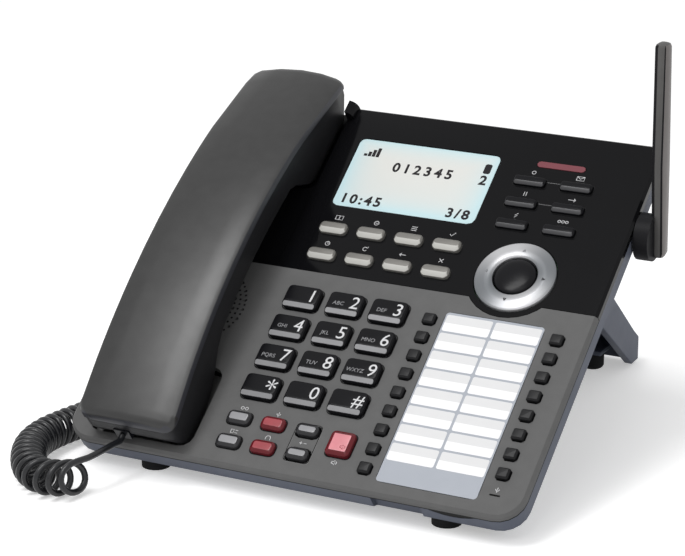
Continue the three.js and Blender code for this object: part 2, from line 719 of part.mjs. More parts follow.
function baseShell() {
  const seamTop = -COVER_RIM - BASE_SEAM;
  const outer = loft([
    atHeight(bodyOutline(BASE_TAPER, BASE_FLOOR_CORNER, BASE_FLOOR_CORNER), -BASE_DEPTH),
    atHeight(bodyOutline(BASE_REVEAL), -BASE_RIM),
    atHeight(bodyOutline(BASE_REVEAL), seamTop),
  ]);
  const floorInset = BASE_TAPER + BASE_WALL;
  const hollow = loft([
    atHeight(bodyOutline(floorInset, BASE_FLOOR_CORNER, BASE_FLOOR_CORNER), -BASE_DEPTH + BASE_WALL),
    atHeight(bodyOutline(BASE_REVEAL + BASE_WALL), -BASE_RIM + BASE_WALL / 2),
    atHeight(bodyOutline(BASE_REVEAL + BASE_WALL), OVERRUN),
  ]);
  const feet = [-1, 1].map((side) => mouldedFoot(side * (halfBody - FRONT_FOOT_INSET)));
  const shell = cut(join(outer, ...feet), hollow);
  const inside = outer.intersect(prism(bodyOutline(BASE_REVEAL), -BASE_DEPTH, seamTop));
  const notch = [notchX - NOTCH_WIDTH / 2, notchX + NOTCH_WIDTH / 2];
  const linerBack = NOTCH_DEPTH + NOTCH_LINER;
  const liner = block(notch[0] - NOTCH_LINER, notch[1] + NOTCH_LINER, 0, linerBack, -BASE_DEPTH, seamTop);
  const posts = [boardLeft + POST_INSET, boardRight - POST_INSET].flatMap((x) =>
    [BOARD_FRONT + POST_INSET * 2, boardBack - POST_INSET * 2].map((y) =>
      disc(x, y, POST_RADIUS, -BASE_DEPTH + BASE_WALL / 2, -BOARD_TOP - BOARD_THICKNESS - GAP, 10),
    ),
  );
  const bossStart = pivotEnd - STEM_LENGTH - BASE_WALL;
  const boss = solid(ontoPanel(pivotGeometry(PIVOT_BOSS_RADIUS, bossStart, pivotEnd, 20)));
  const jackTop = -BASE_DEPTH + PLUG_LENGTH - PLUG_PROUD + GAP;
  const jackBlock = prism(baseJackOutline(PLUG_BLOCK_WALL), -BASE_DEPTH, jackTop + PLUG_BLOCK_WALL);
  const inletBlock = block(
    INLET_X - INLET_BLOCK,
    INLET_X + INLET_BLOCK,
    BODY_LENGTH - BASE_TAPER - INLET_BLOCK_LENGTH,
    BODY_LENGTH,
    -BASE_DEPTH,
    -INLET_DROP + INLET_BLOCK,
  ).intersect(outer);
  const body = join(shell, liner.intersect(inside), ...posts, boss, jackBlock, inletBlock);
  const inletHole = new THREE.CylinderGeometry(INLET_RADIUS, INLET_RADIUS, INLET_BLOCK_LENGTH, 16);
  inletHole.translate(INLET_X, BODY_LENGTH - BASE_TAPER / 2, -INLET_DROP);
  const slots = [-1, 1].map((side) => {
    const { left, right, front, back } = standSlot(side, GAP);
    return block(left, right, front, back, -BASE_DEPTH - OVERRUN, -BASE_DEPTH + BASE_WALL * 2);
  });
  const trayBack = BODY_LENGTH + HANDSET_WIDTH;
  const trayCut = cradleBlock(earPocketStart, trayBack, COVER_WALL + GAP, trayBottom - GAP, OVERRUN);
  return cut(
    body,
    block(notch[0], notch[1], -OVERRUN, NOTCH_DEPTH, -BASE_DEPTH, OVERRUN),
    frontLip(GAP, BASE_WALL + BASE_REVEAL + OVERRUN),
    solid(ontoPanel(pivotGeometry(STEM_RADIUS + STEM_FIT, pivotEnd - STEM_LENGTH - GAP, BODY_WIDTH, 16))),
    prism(baseJackOutline(GAP), -BASE_DEPTH - OVERRUN, jackTop),
    solid(inletHole),
    trayCut,
    ...slots,
  );
}

// Keys

function keyRing(style, grow, z) {
  const { width, depth, radius, steps } = style;
  const size = { width: width + grow * 2, depth: depth + grow * 2, radius: radius + grow, steps };
  return atHeight(roundedOutline({ x: 0, y: 0, ...size }), z);
}

function keyCap(style) {
  const shoulder = style.rise - KEY_SHOULDER;
  return loft([
    keyRing(style, 0, -COVER_WALL - GAP - KEY_FLANGE / 2),
    keyRing(style, 0, shoulder),
    keyRing(style, -style.inset, style.rise),
  ]);
}

function keyFlange(style, drop = 0) {
  const top = -COVER_WALL - GAP - drop;
  return prism(keyRing(style, KEY_LIP, 0), top - KEY_FLANGE + drop, top);
}

function key(style) {
  return join(keyCap(style), keyFlange(style));
}

// A column of caps on one strip, placed from the first cap
function keyStrip(style, places, drop = 0) {
  const [firstX, firstY] = places[0];
  const lastY = places.at(-1)[1] - firstY;
  const strip = { ...style, depth: style.depth - lastY };
  const flange = keyFlange(strip, drop).translate([0, lastY / 2, 0]);
  const caps = places.map(([x, y]) => keyCap(style).translate([x - firstX, y - firstY, 0]));
  return join(flange, ...caps);
}

function navRing() {
  const middle = (NAV_INNER + NAV_OUTER) / 2;
  const lip = NAV_OUTER + NAV_FIT + KEY_LIP;
  return turned(
    [
      [NAV_INNER, -NAV_DROP - NAV_FLANGE],
      [lip, -NAV_DROP - NAV_FLANGE],
      [lip, -NAV_DROP],
      [NAV_OUTER, -NAV_DROP],
      [NAV_OUTER, NAV_RISE / 3],
      [middle, NAV_RISE],
      [NAV_INNER, NAV_RISE / 2],
    ],
    28,
  );
}

function navCenterKey() {
  const radius = NAV_INNER - NAV_FIT;
  return turned(
    [
      [0, -NAV_KEY_DROP - NAV_KEY_FLANGE],
      [radius + KEY_LIP, -NAV_KEY_DROP - NAV_KEY_FLANGE],
      [radius + KEY_LIP, -NAV_KEY_DROP],
      [radius, -NAV_KEY_DROP],
      [radius, NAV_KEY_RISE - KEY_SHOULDER],
      [radius - KEY_SHOULDER, NAV_KEY_RISE],
      [radius / 2, NAV_KEY_RISE - NAV_KEY_DISH],
      [0, NAV_KEY_RISE - NAV_KEY_DISH],
    ],
    24,
  );
}

function navGimbal() {
  const bottom = -GIMBAL_DROP - GIMBAL_THICKNESS;
  return turned(
    [
      [GIMBAL_INNER, bottom],
      [GIMBAL_OUTER, bottom],
      [GIMBAL_OUTER, -GIMBAL_DROP],
      [GIMBAL_INNER, -GIMBAL_DROP],
    ],
    24,
  );
}

// Display, card, lamp and board

// A flush lens whose lip stays under its cover
function lens(outline, lip, top) {
  const under = -COVER_WALL - GAP;
  return join(prism(lip, under - WINDOW_FLANGE, under), prism(outline, under - WINDOW_FLANGE / 2, top));
}

function lcdWindow() {
  const outline = { ...displayWindow(0), x: 0, y: 0 };
  const lip = { ...displayWindow(WINDOW_LIP), x: 0, y: 0 };
  return lens(roundedOutline(outline), roundedOutline(lip), -GAP / 2);
}

function messageLamp() {
  const radius = LAMP_DEPTH / 2 - GAP / 3;
  const outline = { x: 0, y: 0, width: LAMP_WIDTH, depth: LAMP_DEPTH, radius };
  const lip = { ...outline, width: LAMP_WIDTH + KEY_LIP * 2, depth: LAMP_DEPTH + KEY_LIP * 2 };
  return lens(roundedOutline(outline), roundedOutline(lip), LAMP_RISE);
}

function circuitBoard() {
  const width = boardRight - boardLeft;
  const depth = boardBack - BOARD_FRONT;
  const x = (boardLeft + boardRight) / 2;
  const y = (BOARD_FRONT + boardBack) / 2;
  const outline = roundedOutline({ x, y, width, depth, radius: BOARD_CORNER });
  const board = prism(outline, -BOARD_TOP - BOARD_THICKNESS, -BOARD_TOP);
  const display = roundedOutline({ ...displayWindow(DISPLAY_MARGIN), radius: BOARD_CORNER });
  const bossStart = pivotEnd - STEM_LENGTH - BASE_WALL - GAP;
  const boss = solid(ontoPanel(pivotGeometry(PIVOT_BOSS_RADIUS + GAP, bossStart, BODY_WIDTH, 12)));
  return cut(join(board, prism(display, -BOARD_TOP - BOARD_THICKNESS / 2, -DISPLAY_TOP)), boss);
}

function loudspeaker() {
  const top = -COVER_WALL - GAP;
  return turned(
    [
      [0, top - SPEAKER_DEPTH],
      [SPEAKER_MAGNET_RADIUS, top - SPEAKER_DEPTH],
      [SPEAKER_MAGNET_RADIUS, top - SPEAKER_CONE_DEPTH],
      [speakerRadius - SPEAKER_FLANGE, top - SPEAKER_FLANGE],
      [speakerRadius, top - SPEAKER_FLANGE],
      [speakerRadius, top],
      [speakerRadius - SPEAKER_FLANGE * 2, top],
      [SPEAKER_MAGNET_RADIUS / 2, top - SPEAKER_CONE_DEPTH / 2],
      [0, top - SPEAKER_CONE_DEPTH / 3],
    ],
    24,
  );
}

function hookSwitch() {
  const flangeTop = trayBottom - GAP - HOOK_TRAVEL;
  return turned(
    [
      [0, flangeTop - HOOK_FLANGE],
      [HOOK_FLANGE_RADIUS, flangeTop - HOOK_FLANGE],
      [HOOK_FLANGE_RADIUS, flangeTop],
      [HOOK_RADIUS, flangeTop],
      [HOOK_RADIUS, -POCKET_DEPTH],
      [HOOK_RADIUS / 2, -CAP_SEAT - GAP],
      [0, -CAP_SEAT - GAP],
    ],
    16,
  );
}

// Stand

const standFront = panelToDesk(0, standTopFront, -BASE_DEPTH - GAP);
const standBack = panelToDesk(0, standTopBack, -BASE_DEPTH - GAP);
const standReach = standBack.y + STAND_SPLAY;
const footY = standReach - FOOT_SETBACK;

function standProfile() {
  return [
    [standFront.y, standFront.z],
    [standReach - STAND_HEEL_LENGTH, STAND_CLEARANCE],
    [standReach, STAND_CLEARANCE],
    [standReach, STAND_HEEL_TOP],
    [standReach - STAND_KNEE_INSET, STAND_HEEL_TOP + STAND_KNEE_RISE],
    [standBack.y, standBack.z],
  ];
}

// Solid with a side outline of y and z in the desk's frame, between two places across
function sideExtrusion(profile, left, right) {
  const shape = new THREE.Shape(profile.map(([y, z]) => new THREE.Vector2(y, z)));
  const geometry = new THREE.ExtrudeGeometry(shape, { depth: right - left, bevelEnabled: false });
  geometry.rotateX(Math.PI / 2).rotateZ(Math.PI / 2);
  return solid(ontoPanel(geometry.translate(left, 0, 0)));
}

// A line moved to its right by a distance, with mitred corners and both ends drawn out
function insetLine(points, distance, reach) {
  const ways = points.slice(1).map((point, i) => point.clone().sub(points[i]).normalize());
  return points.map((point, i) => {
    const before = ways[Math.max(i - 1, 0)];
    const after = ways[Math.min(i, ways.length - 1)];
    const way = before.clone().add(after).normalize();
    const aside = new THREE.Vector2(way.y, -way.x).multiplyScalar(distance / way.dot(after));
    const drawn = i === 0 ? -reach : i === points.length - 1 ? reach : 0;
    return point.clone().add(aside).addScaledVector(way, drawn);
  });
}

function standHollow(left, right) {
  const [front, , heelBack, heelTop, knee, back] = standProfile().map(([y, z]) => new THREE.Vector2(y, z));
  const line = insetLine([front, back, knee, heelTop, heelBack], STAND_BACK_WALL, CREST_HEIGHT);
  return sideExtrusion(line.map((point) => [point.x, point.y]), left, right);
}

function stand() {
  const outer = sideExtrusion(standProfile(), -halfStand, halfStand);
  const ribs = [-1, 1].map((side) =>
    sideExtrusion(standProfile(), side * STAND_RIB_X - STAND_RIB / 2, side * STAND_RIB_X + STAND_RIB / 2),
  );
  const shelf = [-1, 1].map((side) => {
    const reach = FOOT_RADIUS + FOOT_SHELF_MARGIN;
    const profile = [
      [footY - reach, FOOT_HEIGHT + GAP],
      [standReach - STAND_BACK_WALL / 2, FOOT_HEIGHT + GAP],
      [standReach - STAND_BACK_WALL / 2, FOOT_HEIGHT + GAP + FOOT_SHELF],
      [footY - reach, FOOT_HEIGHT + GAP + FOOT_SHELF],
    ];
    return sideExtrusion(profile, side * footX - reach, side * footX + reach);
  });
  const hooks = [-1, 1].flatMap((side) => {
    const { left, right, front, back } = standSlot(side, 0);
    const top = -BASE_DEPTH + HOOK_TAB_HEIGHT;
    const root = -BASE_DEPTH - STAND_BACK_WALL;
    return [
      block(left, right, front, front + HOOK_TAB_TOE, root, top),
      block(left, right, front, back - GAP, top - HOOK_TAB_TOE, top),
    ];
  });
  const shell = cut(outer, standHollow(STAND_CHEEK - halfStand, halfStand - STAND_CHEEK));
  return join(shell, ...ribs, ...shelf, ...hooks);
}

function standFoot() {
  const radius = FOOT_RADIUS;
  return turned(
    [
      [0, 0],
      [radius - GAP * 4, 0],
      [radius, GAP * 4],
      [radius, FOOT_HEIGHT],
      [0, FOOT_HEIGHT],
    ],
    20,
  );
}

// Antenna, drawn about its pivot: the blade, the round hub beside it and the stem in the tray's boss
function antenna() {
  const thickness = ANTENNA_THICKNESS;
  const tip = ANTENNA_LENGTH;
  const bladeRing = (z, y, width, deep) => {
    const radius = Math.min(thickness, width, deep) / 3;
    return atHeight(roundedOutline({ x: 0, y, width: deep, depth: width, radius }), z);
  };
  const heelY = ANTENNA_OFFSET - ANTENNA_BEVEL / 2;
  const blade = loft([
    bladeRing(-ANTENNA_HEEL, heelY, ANTENNA_HEEL_WIDTH - ANTENNA_BEVEL, thickness * 0.8),
    bladeRing(-ANTENNA_HEEL + ANTENNA_BEVEL, ANTENNA_OFFSET, ANTENNA_HEEL_WIDTH, thickness),
    bladeRing(ANTENNA_BULGE, ANTENNA_BULGE_OFFSET, ANTENNA_WIDTH, thickness),
    bladeRing(tip - ANTENNA_BEVEL, ANTENNA_TIP_OFFSET, ANTENNA_TIP_WIDTH, thickness),
    bladeRing(tip - ANTENNA_BEVEL / 3, ANTENNA_TIP_OFFSET, ANTENNA_TIP_WIDTH * 0.85, thickness * 0.85),
    bladeRing(tip, ANTENNA_TIP_OFFSET, ANTENNA_TIP_WIDTH * 0.5, thickness * 0.5),
  ]);
  const along = (radius, from, to, sides) => {
    const geometry = new THREE.CylinderGeometry(radius, radius, to - from, sides).rotateZ(Math.PI / 2);
    return solid(geometry.translate((from + to) / 2, 0, 0));
  };
  const bladeInner = -thickness / 2;
  const hub = along(HUB_RADIUS, bladeInner - HUB_THICKNESS, bladeInner + thickness / 3, 24);
  const stemEnd = bladeInner - HUB_THICKNESS - GAP - STEM_LENGTH - BASE_REVEAL + GAP;
  const stem = along(STEM_RADIUS, stemEnd, bladeInner, 16);
  return join(blade, hub, stem);
}

// Handset shells, lofted up the slope from sections across it

const peakAt = HANDSET_FRONT + handsetLength * HANDSET_PEAK_SHARE;
const mouthFlatEnd = HANDSET_FRONT + handsetLength * MOUTH_FLAT_SHARE;
const mouthRampEnd = HANDSET_FRONT + handsetLength * MOUTH_RAMP_SHARE;
const earFlatStart = handsetBack - EAR_FLAT_LENGTH;
const earRampStart = earFlatStart - EAR_RAMP_LENGTH;
const handsetJackX = handsetX - HANDSET_JACK_OFFSET;

// Height that a rounded edge of a radius has lost at a distance from its end
function roundedLoss(radius, distance) {
  const into = THREE.MathUtils.clamp(radius - distance, 0, radius);
  return radius - Math.sqrt(radius ** 2 - into ** 2);
}

function crestHeight(y) {
  const along = y - peakAt;
  return HANDSET_PEAK - HANDSET_ARC_RADIUS + Math.sqrt(HANDSET_ARC_RADIUS ** 2 - along ** 2);
}

function easeBetween(from, to, value) {
  return THREE.MathUtils.smoothstep(value, Math.min(from, to), Math.max(from, to));
}

// Height of the inner shell's underside: two caps in the cradle with the grip's arch between them
function undersideHeight(y) {
  const arch = crestHeight(y) - GRIP_THICKNESS;
  const raised = y < handsetMiddle
    ? easeBetween(mouthFlatEnd, mouthRampEnd, y)
    : 1 - easeBetween(earRampStart, earFlatStart, y);
  const nose = 1 - THREE.MathUtils.clamp((y - HANDSET_FRONT) / NOSE_LENGTH, 0, 1);
  const tail = 1 - THREE.MathUtils.clamp((handsetBack - y) / TAIL_LENGTH, 0, 1);
  const end = Math.max(nose, tail);
  return -CAP_SEAT + (arch + CAP_SEAT) * raised + (CAP_NOSE + CAP_SEAT) * end;
}

function halfWidth(y) {
  const fromEnd = Math.min(y - HANDSET_FRONT, handsetBack - y);
  const waist = HANDSET_WAIST * (1 - ((y - handsetMiddle) / (handsetLength / 2)) ** 2);
  return HANDSET_WIDTH / 2 - waist - roundedLoss(HANDSET_CORNER, fromEnd);
}

// Place along the slope of a section's point, drawn back towards the sides of the bowed ear end
function bowed(x, y) {
  const bow = HANDSET_BOW * easeBetween(handsetBack - HANDSET_BOW_LENGTH, handsetBack, y);
  return y - bow * (x / (HANDSET_WIDTH / 2)) ** 2;
}

const endShares = [0, 0.08, 0.3, 0.62];
const spanShares = [0.12, 0.3, 0.5, 0.7, 0.88];
const rampShares = [0, 0.25, 0.5, 0.75];

function handsetStations() {
  const ends = endShares.map((share) => share * HANDSET_CORNER);
  const places = [
    ...ends.map((distance) => HANDSET_FRONT + distance),
    HANDSET_FRONT + NOSE_LENGTH,
    ...rampShares.map((share) => THREE.MathUtils.lerp(mouthFlatEnd, mouthRampEnd, share)),
    mouthRampEnd,
    ...spanShares.map((share) => THREE.MathUtils.lerp(mouthRampEnd, earRampStart, share)),
    ...rampShares.map((share) => THREE.MathUtils.lerp(earRampStart, earFlatStart, share)),
    earFlatStart,
    handsetBack - TAIL_LENGTH,
    ...ends.map((distance) => handsetBack - distance).reverse(),
  ];
  return places;
}

// The crowned outer shell's section: a flat seam below and a rounded back above
function backSection(y, inset, floor) {
  const half = halfWidth(y) - inset;
  const endLoss = roundedLoss(HANDSET_END_EDGE, Math.min(y - HANDSET_FRONT, handsetBack - y));
  const top = crestHeight(y) - endLoss - inset;
  const edge = HANDSET_EDGE;
  const right = [
    [half, floor],
    [half, Math.max(top - edge, floor + GAP)],
    [half - edge * 0.3, top - edge * 0.3],
    [half - edge, top],
    [half / 2, top + HANDSET_CROWN * 0.75],
  ];
  const left = right.map(([x, z]) => [-x, z]).reverse();
  const points = [...right, [0, top + HANDSET_CROWN], ...left];
  return points.map(([x, z]) => new THREE.Vector3(handsetX + x, bowed(x, y), z));
}

function seamHeight(y) {
  return crestHeight(y) - SEAM_DROP;
}

function handsetBackShell() {
  const stations = handsetStations();
  const outer = loft(stations.map((y) => backSection(y, 0, seamHeight(y))));
  const inner = stations
    .filter((y) => y > HANDSET_FRONT + HANDSET_WALL && y < handsetBack - HANDSET_WALL)
    .map((y) => backSection(y, HANDSET_WALL, seamHeight(y) - OVERRUN));
  return cut(outer, loft(inner));
}

// The inner shell's section: straight sides that draw in to a rounded underside
function frontSection(y, inset, ceiling) {
  const half = halfWidth(y) - SEAM_STEP - inset;
  const floor = undersideHeight(y) + inset;
  const height = ceiling - floor;
  const round = Math.min(UNDER_EDGE, height / 2);
  const right = [
    [half, ceiling],
    [half - SEAM_STEP / 2, floor + round],
    [half - SEAM_STEP / 2 - round * 0.4, floor + round * 0.3],
    [half - SEAM_STEP / 2 - round, floor],
  ];
  const left = right.map(([x, z]) => [-x, z]).reverse();
  return [...right, ...left].map(([x, z]) => new THREE.Vector3(handsetX + x, bowed(x, y), z));
}

function soundHoles(y, radius, count) {
  const ring = Array.from({ length: count }, (_, i) => (i / count) * fullTurn);
  const places = ring.map((angle) => [radius * Math.cos(angle), radius * Math.sin(angle)]);
  return [[0, 0], ...places].map(([dx, dy]) =>
    disc(handsetX + dx, y + dy, SOUND_HOLE_RADIUS, -CAP_SEAT - OVERRUN, -CAP_SEAT + HANDSET_WALL + OVERRUN, 6),
  );
}

function handsetFrontShell() {
  const stations = handsetStations();
  const outer = loft(stations.map((y) => frontSection(y, 0, seamHeight(y) - GAP)));
  const inner = stations
    .filter((y) => y > HANDSET_FRONT + HANDSET_WALL && y < handsetBack - HANDSET_WALL)
    .map((y) => frontSection(y, HANDSET_WALL, seamHeight(y) + OVERRUN));
  const socket = block(
    handsetJackX - PLUG_WIDTH / 2 - GAP,
    handsetJackX + PLUG_WIDTH / 2 + GAP,
    -handsetLength,
    HANDSET_FRONT + PLUG_LENGTH,
    HANDSET_JACK_HEIGHT - PLUG_HEIGHT / 2 - GAP,
    HANDSET_JACK_HEIGHT + PLUG_HEIGHT / 2 + GAP,
  );
  const holes = [
    ...soundHoles(earCentre, SOUND_RING_RADIUS, SOUND_RING_HOLES),
    ...soundHoles(MOUTH_CENTRE, SOUND_HOLE_RADIUS * 2, SOUND_RING_HOLES / 2),
  ];
  return cut(outer, loft(inner), socket, ...holes);
}

function capsule(radius, thickness) {
  const bottom = -CAP_SEAT + HANDSET_WALL + GAP;
  return turned(
    [
      [0, bottom],
      [radius, bottom],
      [radius, bottom + thickness * 0.6],
      [radius * 0.7, bottom + thickness],
      [0, bottom + thickness],
    ],
    20,
  );
}

// Cord and plugs

// A clear plug drawn along its own z, from its tip at the cord's end
function cordPlug() {
  const half = PLUG_WIDTH / 2;
  const deep = PLUG_HEIGHT / 2;
  const body = block(-half, half, -deep, deep, 0, PLUG_LENGTH);
  const latch = block(-half / 2, half / 2, deep - GAP, deep + GAP / 2, PLUG_PROUD, PLUG_LENGTH - GAP);
  const relief = block(-half, half, -deep * 2, -deep * 0.4, PLUG_LENGTH / 2, PLUG_LENGTH + OVERRUN);
  return cut(join(body, latch), relief);
}

// Closed tube through points, with a frame carried along them so that it doesn't twist
function sweep(points, radius, sides) {
  const tangents = points.map((point, i) => {
    const before = points[Math.max(i - 1, 0)];
    const after = points[Math.min(i + 1, points.length - 1)];
    return after.clone().sub(before).normalize();
  });
  const up = new THREE.Vector3(0, 0, 1);
  const normal = up.cross(tangents[0]).normalize();
  const rings = points.map((point, i) => {
    normal.addScaledVector(tangents[i], -normal.dot(tangents[i])).normalize();
    const side = new THREE.Vector3().crossVectors(tangents[i], normal);
    return Array.from({ length: sides }, (_, corner) => {
      const angle = (corner / sides) * fullTurn;
      return point
        .clone()
        .addScaledVector(normal, radius * Math.cos(angle))
        .addScaledVector(side, radius * Math.sin(angle));
    });
  });
  return loft(rings);
}

const curlHeight = CURL_RADIUS + WIRE_RADIUS + WIRE_LIFT;
const curlRoute = CURL_ROUTE.map(([x, y]) => new THREE.Vector3(x, y, curlHeight));
const curlAxis = new THREE.CatmullRomCurve3(curlRoute, false, "centripetal");

// Point of the wire after some turns: the first curls stand open, raised and leaning, the rest lie close
function curlPoint(turns) {
  const angle = turns * fullTurn;
  const open = Math.exp(-turns / OPEN_CURLS);
  const distance = turns * CURL_PITCH + OPEN_STRETCH * (1 - open);
  const share = THREE.MathUtils.clamp(distance / curlAxis.getLength(), 0, 1);
  const heading = curlAxis.getTangentAt(share);
  const side = new THREE.Vector3(heading.y, -heading.x, 0);
  const lean = OPEN_LEAN * open * Math.sin(angle + LEAN_TURN_SHARE * fullTurn);
  const raise = OPEN_RAISE * open ** 2;
  return curlAxis
    .getPointAt(share)
    .addScaledVector(new THREE.Vector3(0, 0, 1), CURL_RADIUS * Math.cos(angle) + raise)
    .addScaledVector(side, -CURL_RADIUS * Math.sin(angle))
    .addScaledVector(heading, lean);
}

// Heading of the wire, from two points close together
function curlWay(turns) {
  const close = GAP / CURL_STEPS / CURL_COUNT;
  return curlPoint(turns + close).sub(curlPoint(turns - close)).normalize();
}

function curlPoints() {
  const turns = CURL_COUNT - 1 / 2;
  const count = turns * CURL_STEPS;
  const wound = Array.from({ length: count + 1 }, (_, i) => curlPoint(i / CURL_STEPS));
  const startway = curlWay(0).multiplyScalar(-WIRE_RADIUS * 2);
  const endway = curlWay(turns).multiplyScalar(WIRE_RADIUS * 2);
  return [wound[0].clone().add(startway), ...wound, wound.at(-1).clone().add(endway)];
}

// Least gap between strands that aren't neighbours along the wire
function leastGap(points) {
  let least = Infinity;
  for (let i = 0; i < points.length; i += 1) {
    for (let j = i + CURL_STEPS / 2; j < points.length; j += 1) {
      least = Math.min(least, segmentGap(points[i], points[j], points[Math.min(j + 1, points.length - 1)]));
    }
  }
  return least - WIRE_RADIUS * 2;
}

function segmentGap(point, from, to) {
  const nearest = new THREE.Vector3();
  new THREE.Line3(from, to).closestPointToPoint(point, true, nearest);
  return nearest.distanceTo(point);
}

// Plain round tube along a smooth curve through points
function plainTube(points) {
  const section = new THREE.Shape();
  for (let i = 0; i < LEAD_SIDES; i += 1) {
    const angle = (i / LEAD_SIDES) * fullTurn;
    const place = [WIRE_RADIUS * Math.cos(angle), WIRE_RADIUS * Math.sin(angle)];
    if (i === 0) section.moveTo(...place);
    else section.lineTo(...place);
  }
  const extrudePath = new THREE.CatmullRomCurve3(points, false, "centripetal");
  const steps = Math.ceil(extrudePath.getLength() / LEAD_STEP);
  return solid(new THREE.ExtrudeGeometry(section, { steps, bevelEnabled: false, extrudePath }));
}

// A straight first or last stretch, from one end towards the other
function stretch(from, direction, length) {
  return from.clone().addScaledVector(direction, length);
}

// Assembly

const group = new THREE.Group();
const desk = new THREE.Group();
const panel = new THREE.Group();
panel.position.z = CREST_HEIGHT;
panel.rotation.x = tilt;
desk.add(panel);
group.add(desk);

function place(parent, name, body, finish, x = 0, y = 0, z = 0) {
  const material = new THREE.MeshStandardMaterial({ ...finish, flatShading: true });
  const mesh = new THREE.Mesh(geometryOf(body), material);
  mesh.name = name;
  mesh.position.set(x, y, z);
  parent.add(mesh);
  return mesh;
}

function placeKeys(names, places, body, finish) {
  names.forEach((name, i) => place(panel, name, body, finish, ...places[i]));
}

function numbered(stem, count) {
  return Array.from({ length: count }, (_, i) => `${stem}_${i + 1}`);
}

place(panel, "base_shell", baseShell(), TRAY_GREY);
place(panel, "top_cover", topCover(), CHARCOAL);
place(panel, "fascia", fascia(), GLOSS_BLACK);
place(panel, "circuit_board", circuitBoard(), BOARD_GREEN);
place(panel, "loudspeaker", loudspeaker(), STEEL, handsetX, grilleCentre);
place(panel, "hook_switch", hookSwitch(), RUBBER, handsetX, earCentre);
const { x: displayX, y: displayY } = displayWindow(0);
place(panel, "lcd_window", lcdWindow(), CLEAR, displayX, displayY);
place(panel, "message_lamp", messageLamp(), RED_KEY, lampX, lampY);
const paperBottom = -CARD_RECESS + GAP;
place(panel, "label_card", prism(cardOutline(0), paperBottom, paperBottom + CARD_PAPER), PAPER);
const coverBottom = paperBottom + CARD_PAPER + GAP;
place(panel, "label_cover", prism(cardOutline(0), coverBottom, coverBottom + CARD_LENS), CLEAR);

const dialNames = [...numbered("dial_key", 9), "dial_key_star", "dial_key_0", "dial_key_hash"];
placeKeys(dialNames, dialPlaces, key(dialKey), GLOSS_BLACK);
placeKeys(numbered("menu_key", menuPlaces.length), menuPlaces, key(menuKey), SILVER);
placeKeys(numbered("call_key", callPlaces.length), callPlaces, key(CALL_KEY), GLOSS_BLACK);
const [intercom, mute, volumeUp, intercomAll, headset, volumeDown] = smallPlaces;
placeKeys(["intercom_key", "intercom_all_key"], [intercom, intercomAll], key(SMALL_KEY), GREY_KEY);
placeKeys(["mute_key", "headset_key"], [mute, headset], key(SMALL_KEY), RED_KEY);
place(panel, "volume_rocker", keyStrip(SMALL_KEY, [volumeUp, volumeDown], ROCKER_DROP), GREY_KEY, ...volumeUp);
place(panel, "speaker_key", key(SPEAKER_KEY), RED_KEY, speakerKeyX, speakerKeyY);
place(panel, "line_keys_left", keyStrip(LINE_KEY, lineLeftPlaces), RUBBER, ...lineLeftPlaces[0]);
place(panel, "line_keys_right", keyStrip(LINE_KEY, lineRightPlaces), RUBBER, ...lineRightPlaces[0]);
place(panel, "nav_ring", navRing(), SILVER, navX, navY);
place(panel, "nav_center_key", navCenterKey(), GLOSS_BLACK, navX, navY);
place(panel, "nav_gimbal", navGimbal(), RUBBER, navX, navY);

place(panel, "stand", stand(), TRAY_GREY);
place(desk, "stand_foot_left", standFoot(), RUBBER, -footX, footY);
place(desk, "stand_foot_right", standFoot(), RUBBER, footX, footY);
const antennaX = halfBody + GAP + HUB_THICKNESS + ANTENNA_THICKNESS / 2;
place(desk, "antenna", antenna(), CHARCOAL, antennaX, pivot.y, pivot.z);

place(panel, "handset_back", handsetBackShell(), SATIN_GREY);
place(panel, "handset_front", handsetFrontShell(), CHARCOAL);
place(panel, "handset_receiver", capsule(RECEIVER_RADIUS, RECEIVER_THICKNESS), STEEL, handsetX, earCentre);
place(panel, "handset_microphone", capsule(CAPSULE_RADIUS, CAPSULE_THICKNESS), STEEL, handsetX, MOUTH_CENTRE);

const handsetPlugFront = HANDSET_FRONT - HANDSET_PLUG_PROUD;
const plugPlace = [handsetJackX, handsetPlugFront, HANDSET_JACK_HEIGHT];
place(panel, "handset_plug", cordPlug(), CLEAR, ...plugPlace).rotation.x = -Math.PI / 2;
const basePlugBottom = -BASE_DEPTH - PLUG_PROUD;
place(panel, "base_plug", cordPlug(), CLEAR, baseJackX, BASE_JACK_Y, basePlugBottom);

const wirePoints = curlPoints();
console.log(`least gap between curls: ${leastGap(wirePoints).toFixed(2)} mm`);
place(desk, "curly_cord", sweep(wirePoints, WIRE_RADIUS, CURL_SIDES), RUBBER);

const curlIn = curlWay(0).negate();
const curlOut = curlWay(CURL_COUNT - 1 / 2);
const downSlope = panelToDesk(0, -1, 0).sub(panelToDesk(0, 0, 0));
const belowPanel = panelToDesk(0, 0, -1).sub(panelToDesk(0, 0, 0));
const handsetExit = panelToDesk(handsetJackX, handsetPlugFront - GAP, HANDSET_JACK_HEIGHT);
const leadEnd = stretch(wirePoints[0], curlIn, GAP);
const leadPoints = [
  handsetExit,
  stretch(handsetExit, downSlope, WIRE_RADIUS * 2),
  ...LEAD_POINTS.map((point) => new THREE.Vector3(...point)),
  stretch(leadEnd, curlIn, WIRE_RADIUS * 2),
  leadEnd,
];
place(desk, "handset_lead", plainTube(leadPoints), RUBBER);

const baseExit = panelToDesk(baseJackX, BASE_JACK_Y, basePlugBottom - GAP);
const tailStart = stretch(wirePoints.at(-1), curlOut, GAP);
const tailPoints = [
  tailStart,
  stretch(tailStart, curlOut, WIRE_RADIUS * 2),
  ...TAIL_POINTS.map((point) => new THREE.Vector3(...point)),
  stretch(baseExit, belowPanel, WIRE_RADIUS * 2),
  baseExit,
];
place(desk, "base_lead", plainTube(tailPoints), RUBBER);

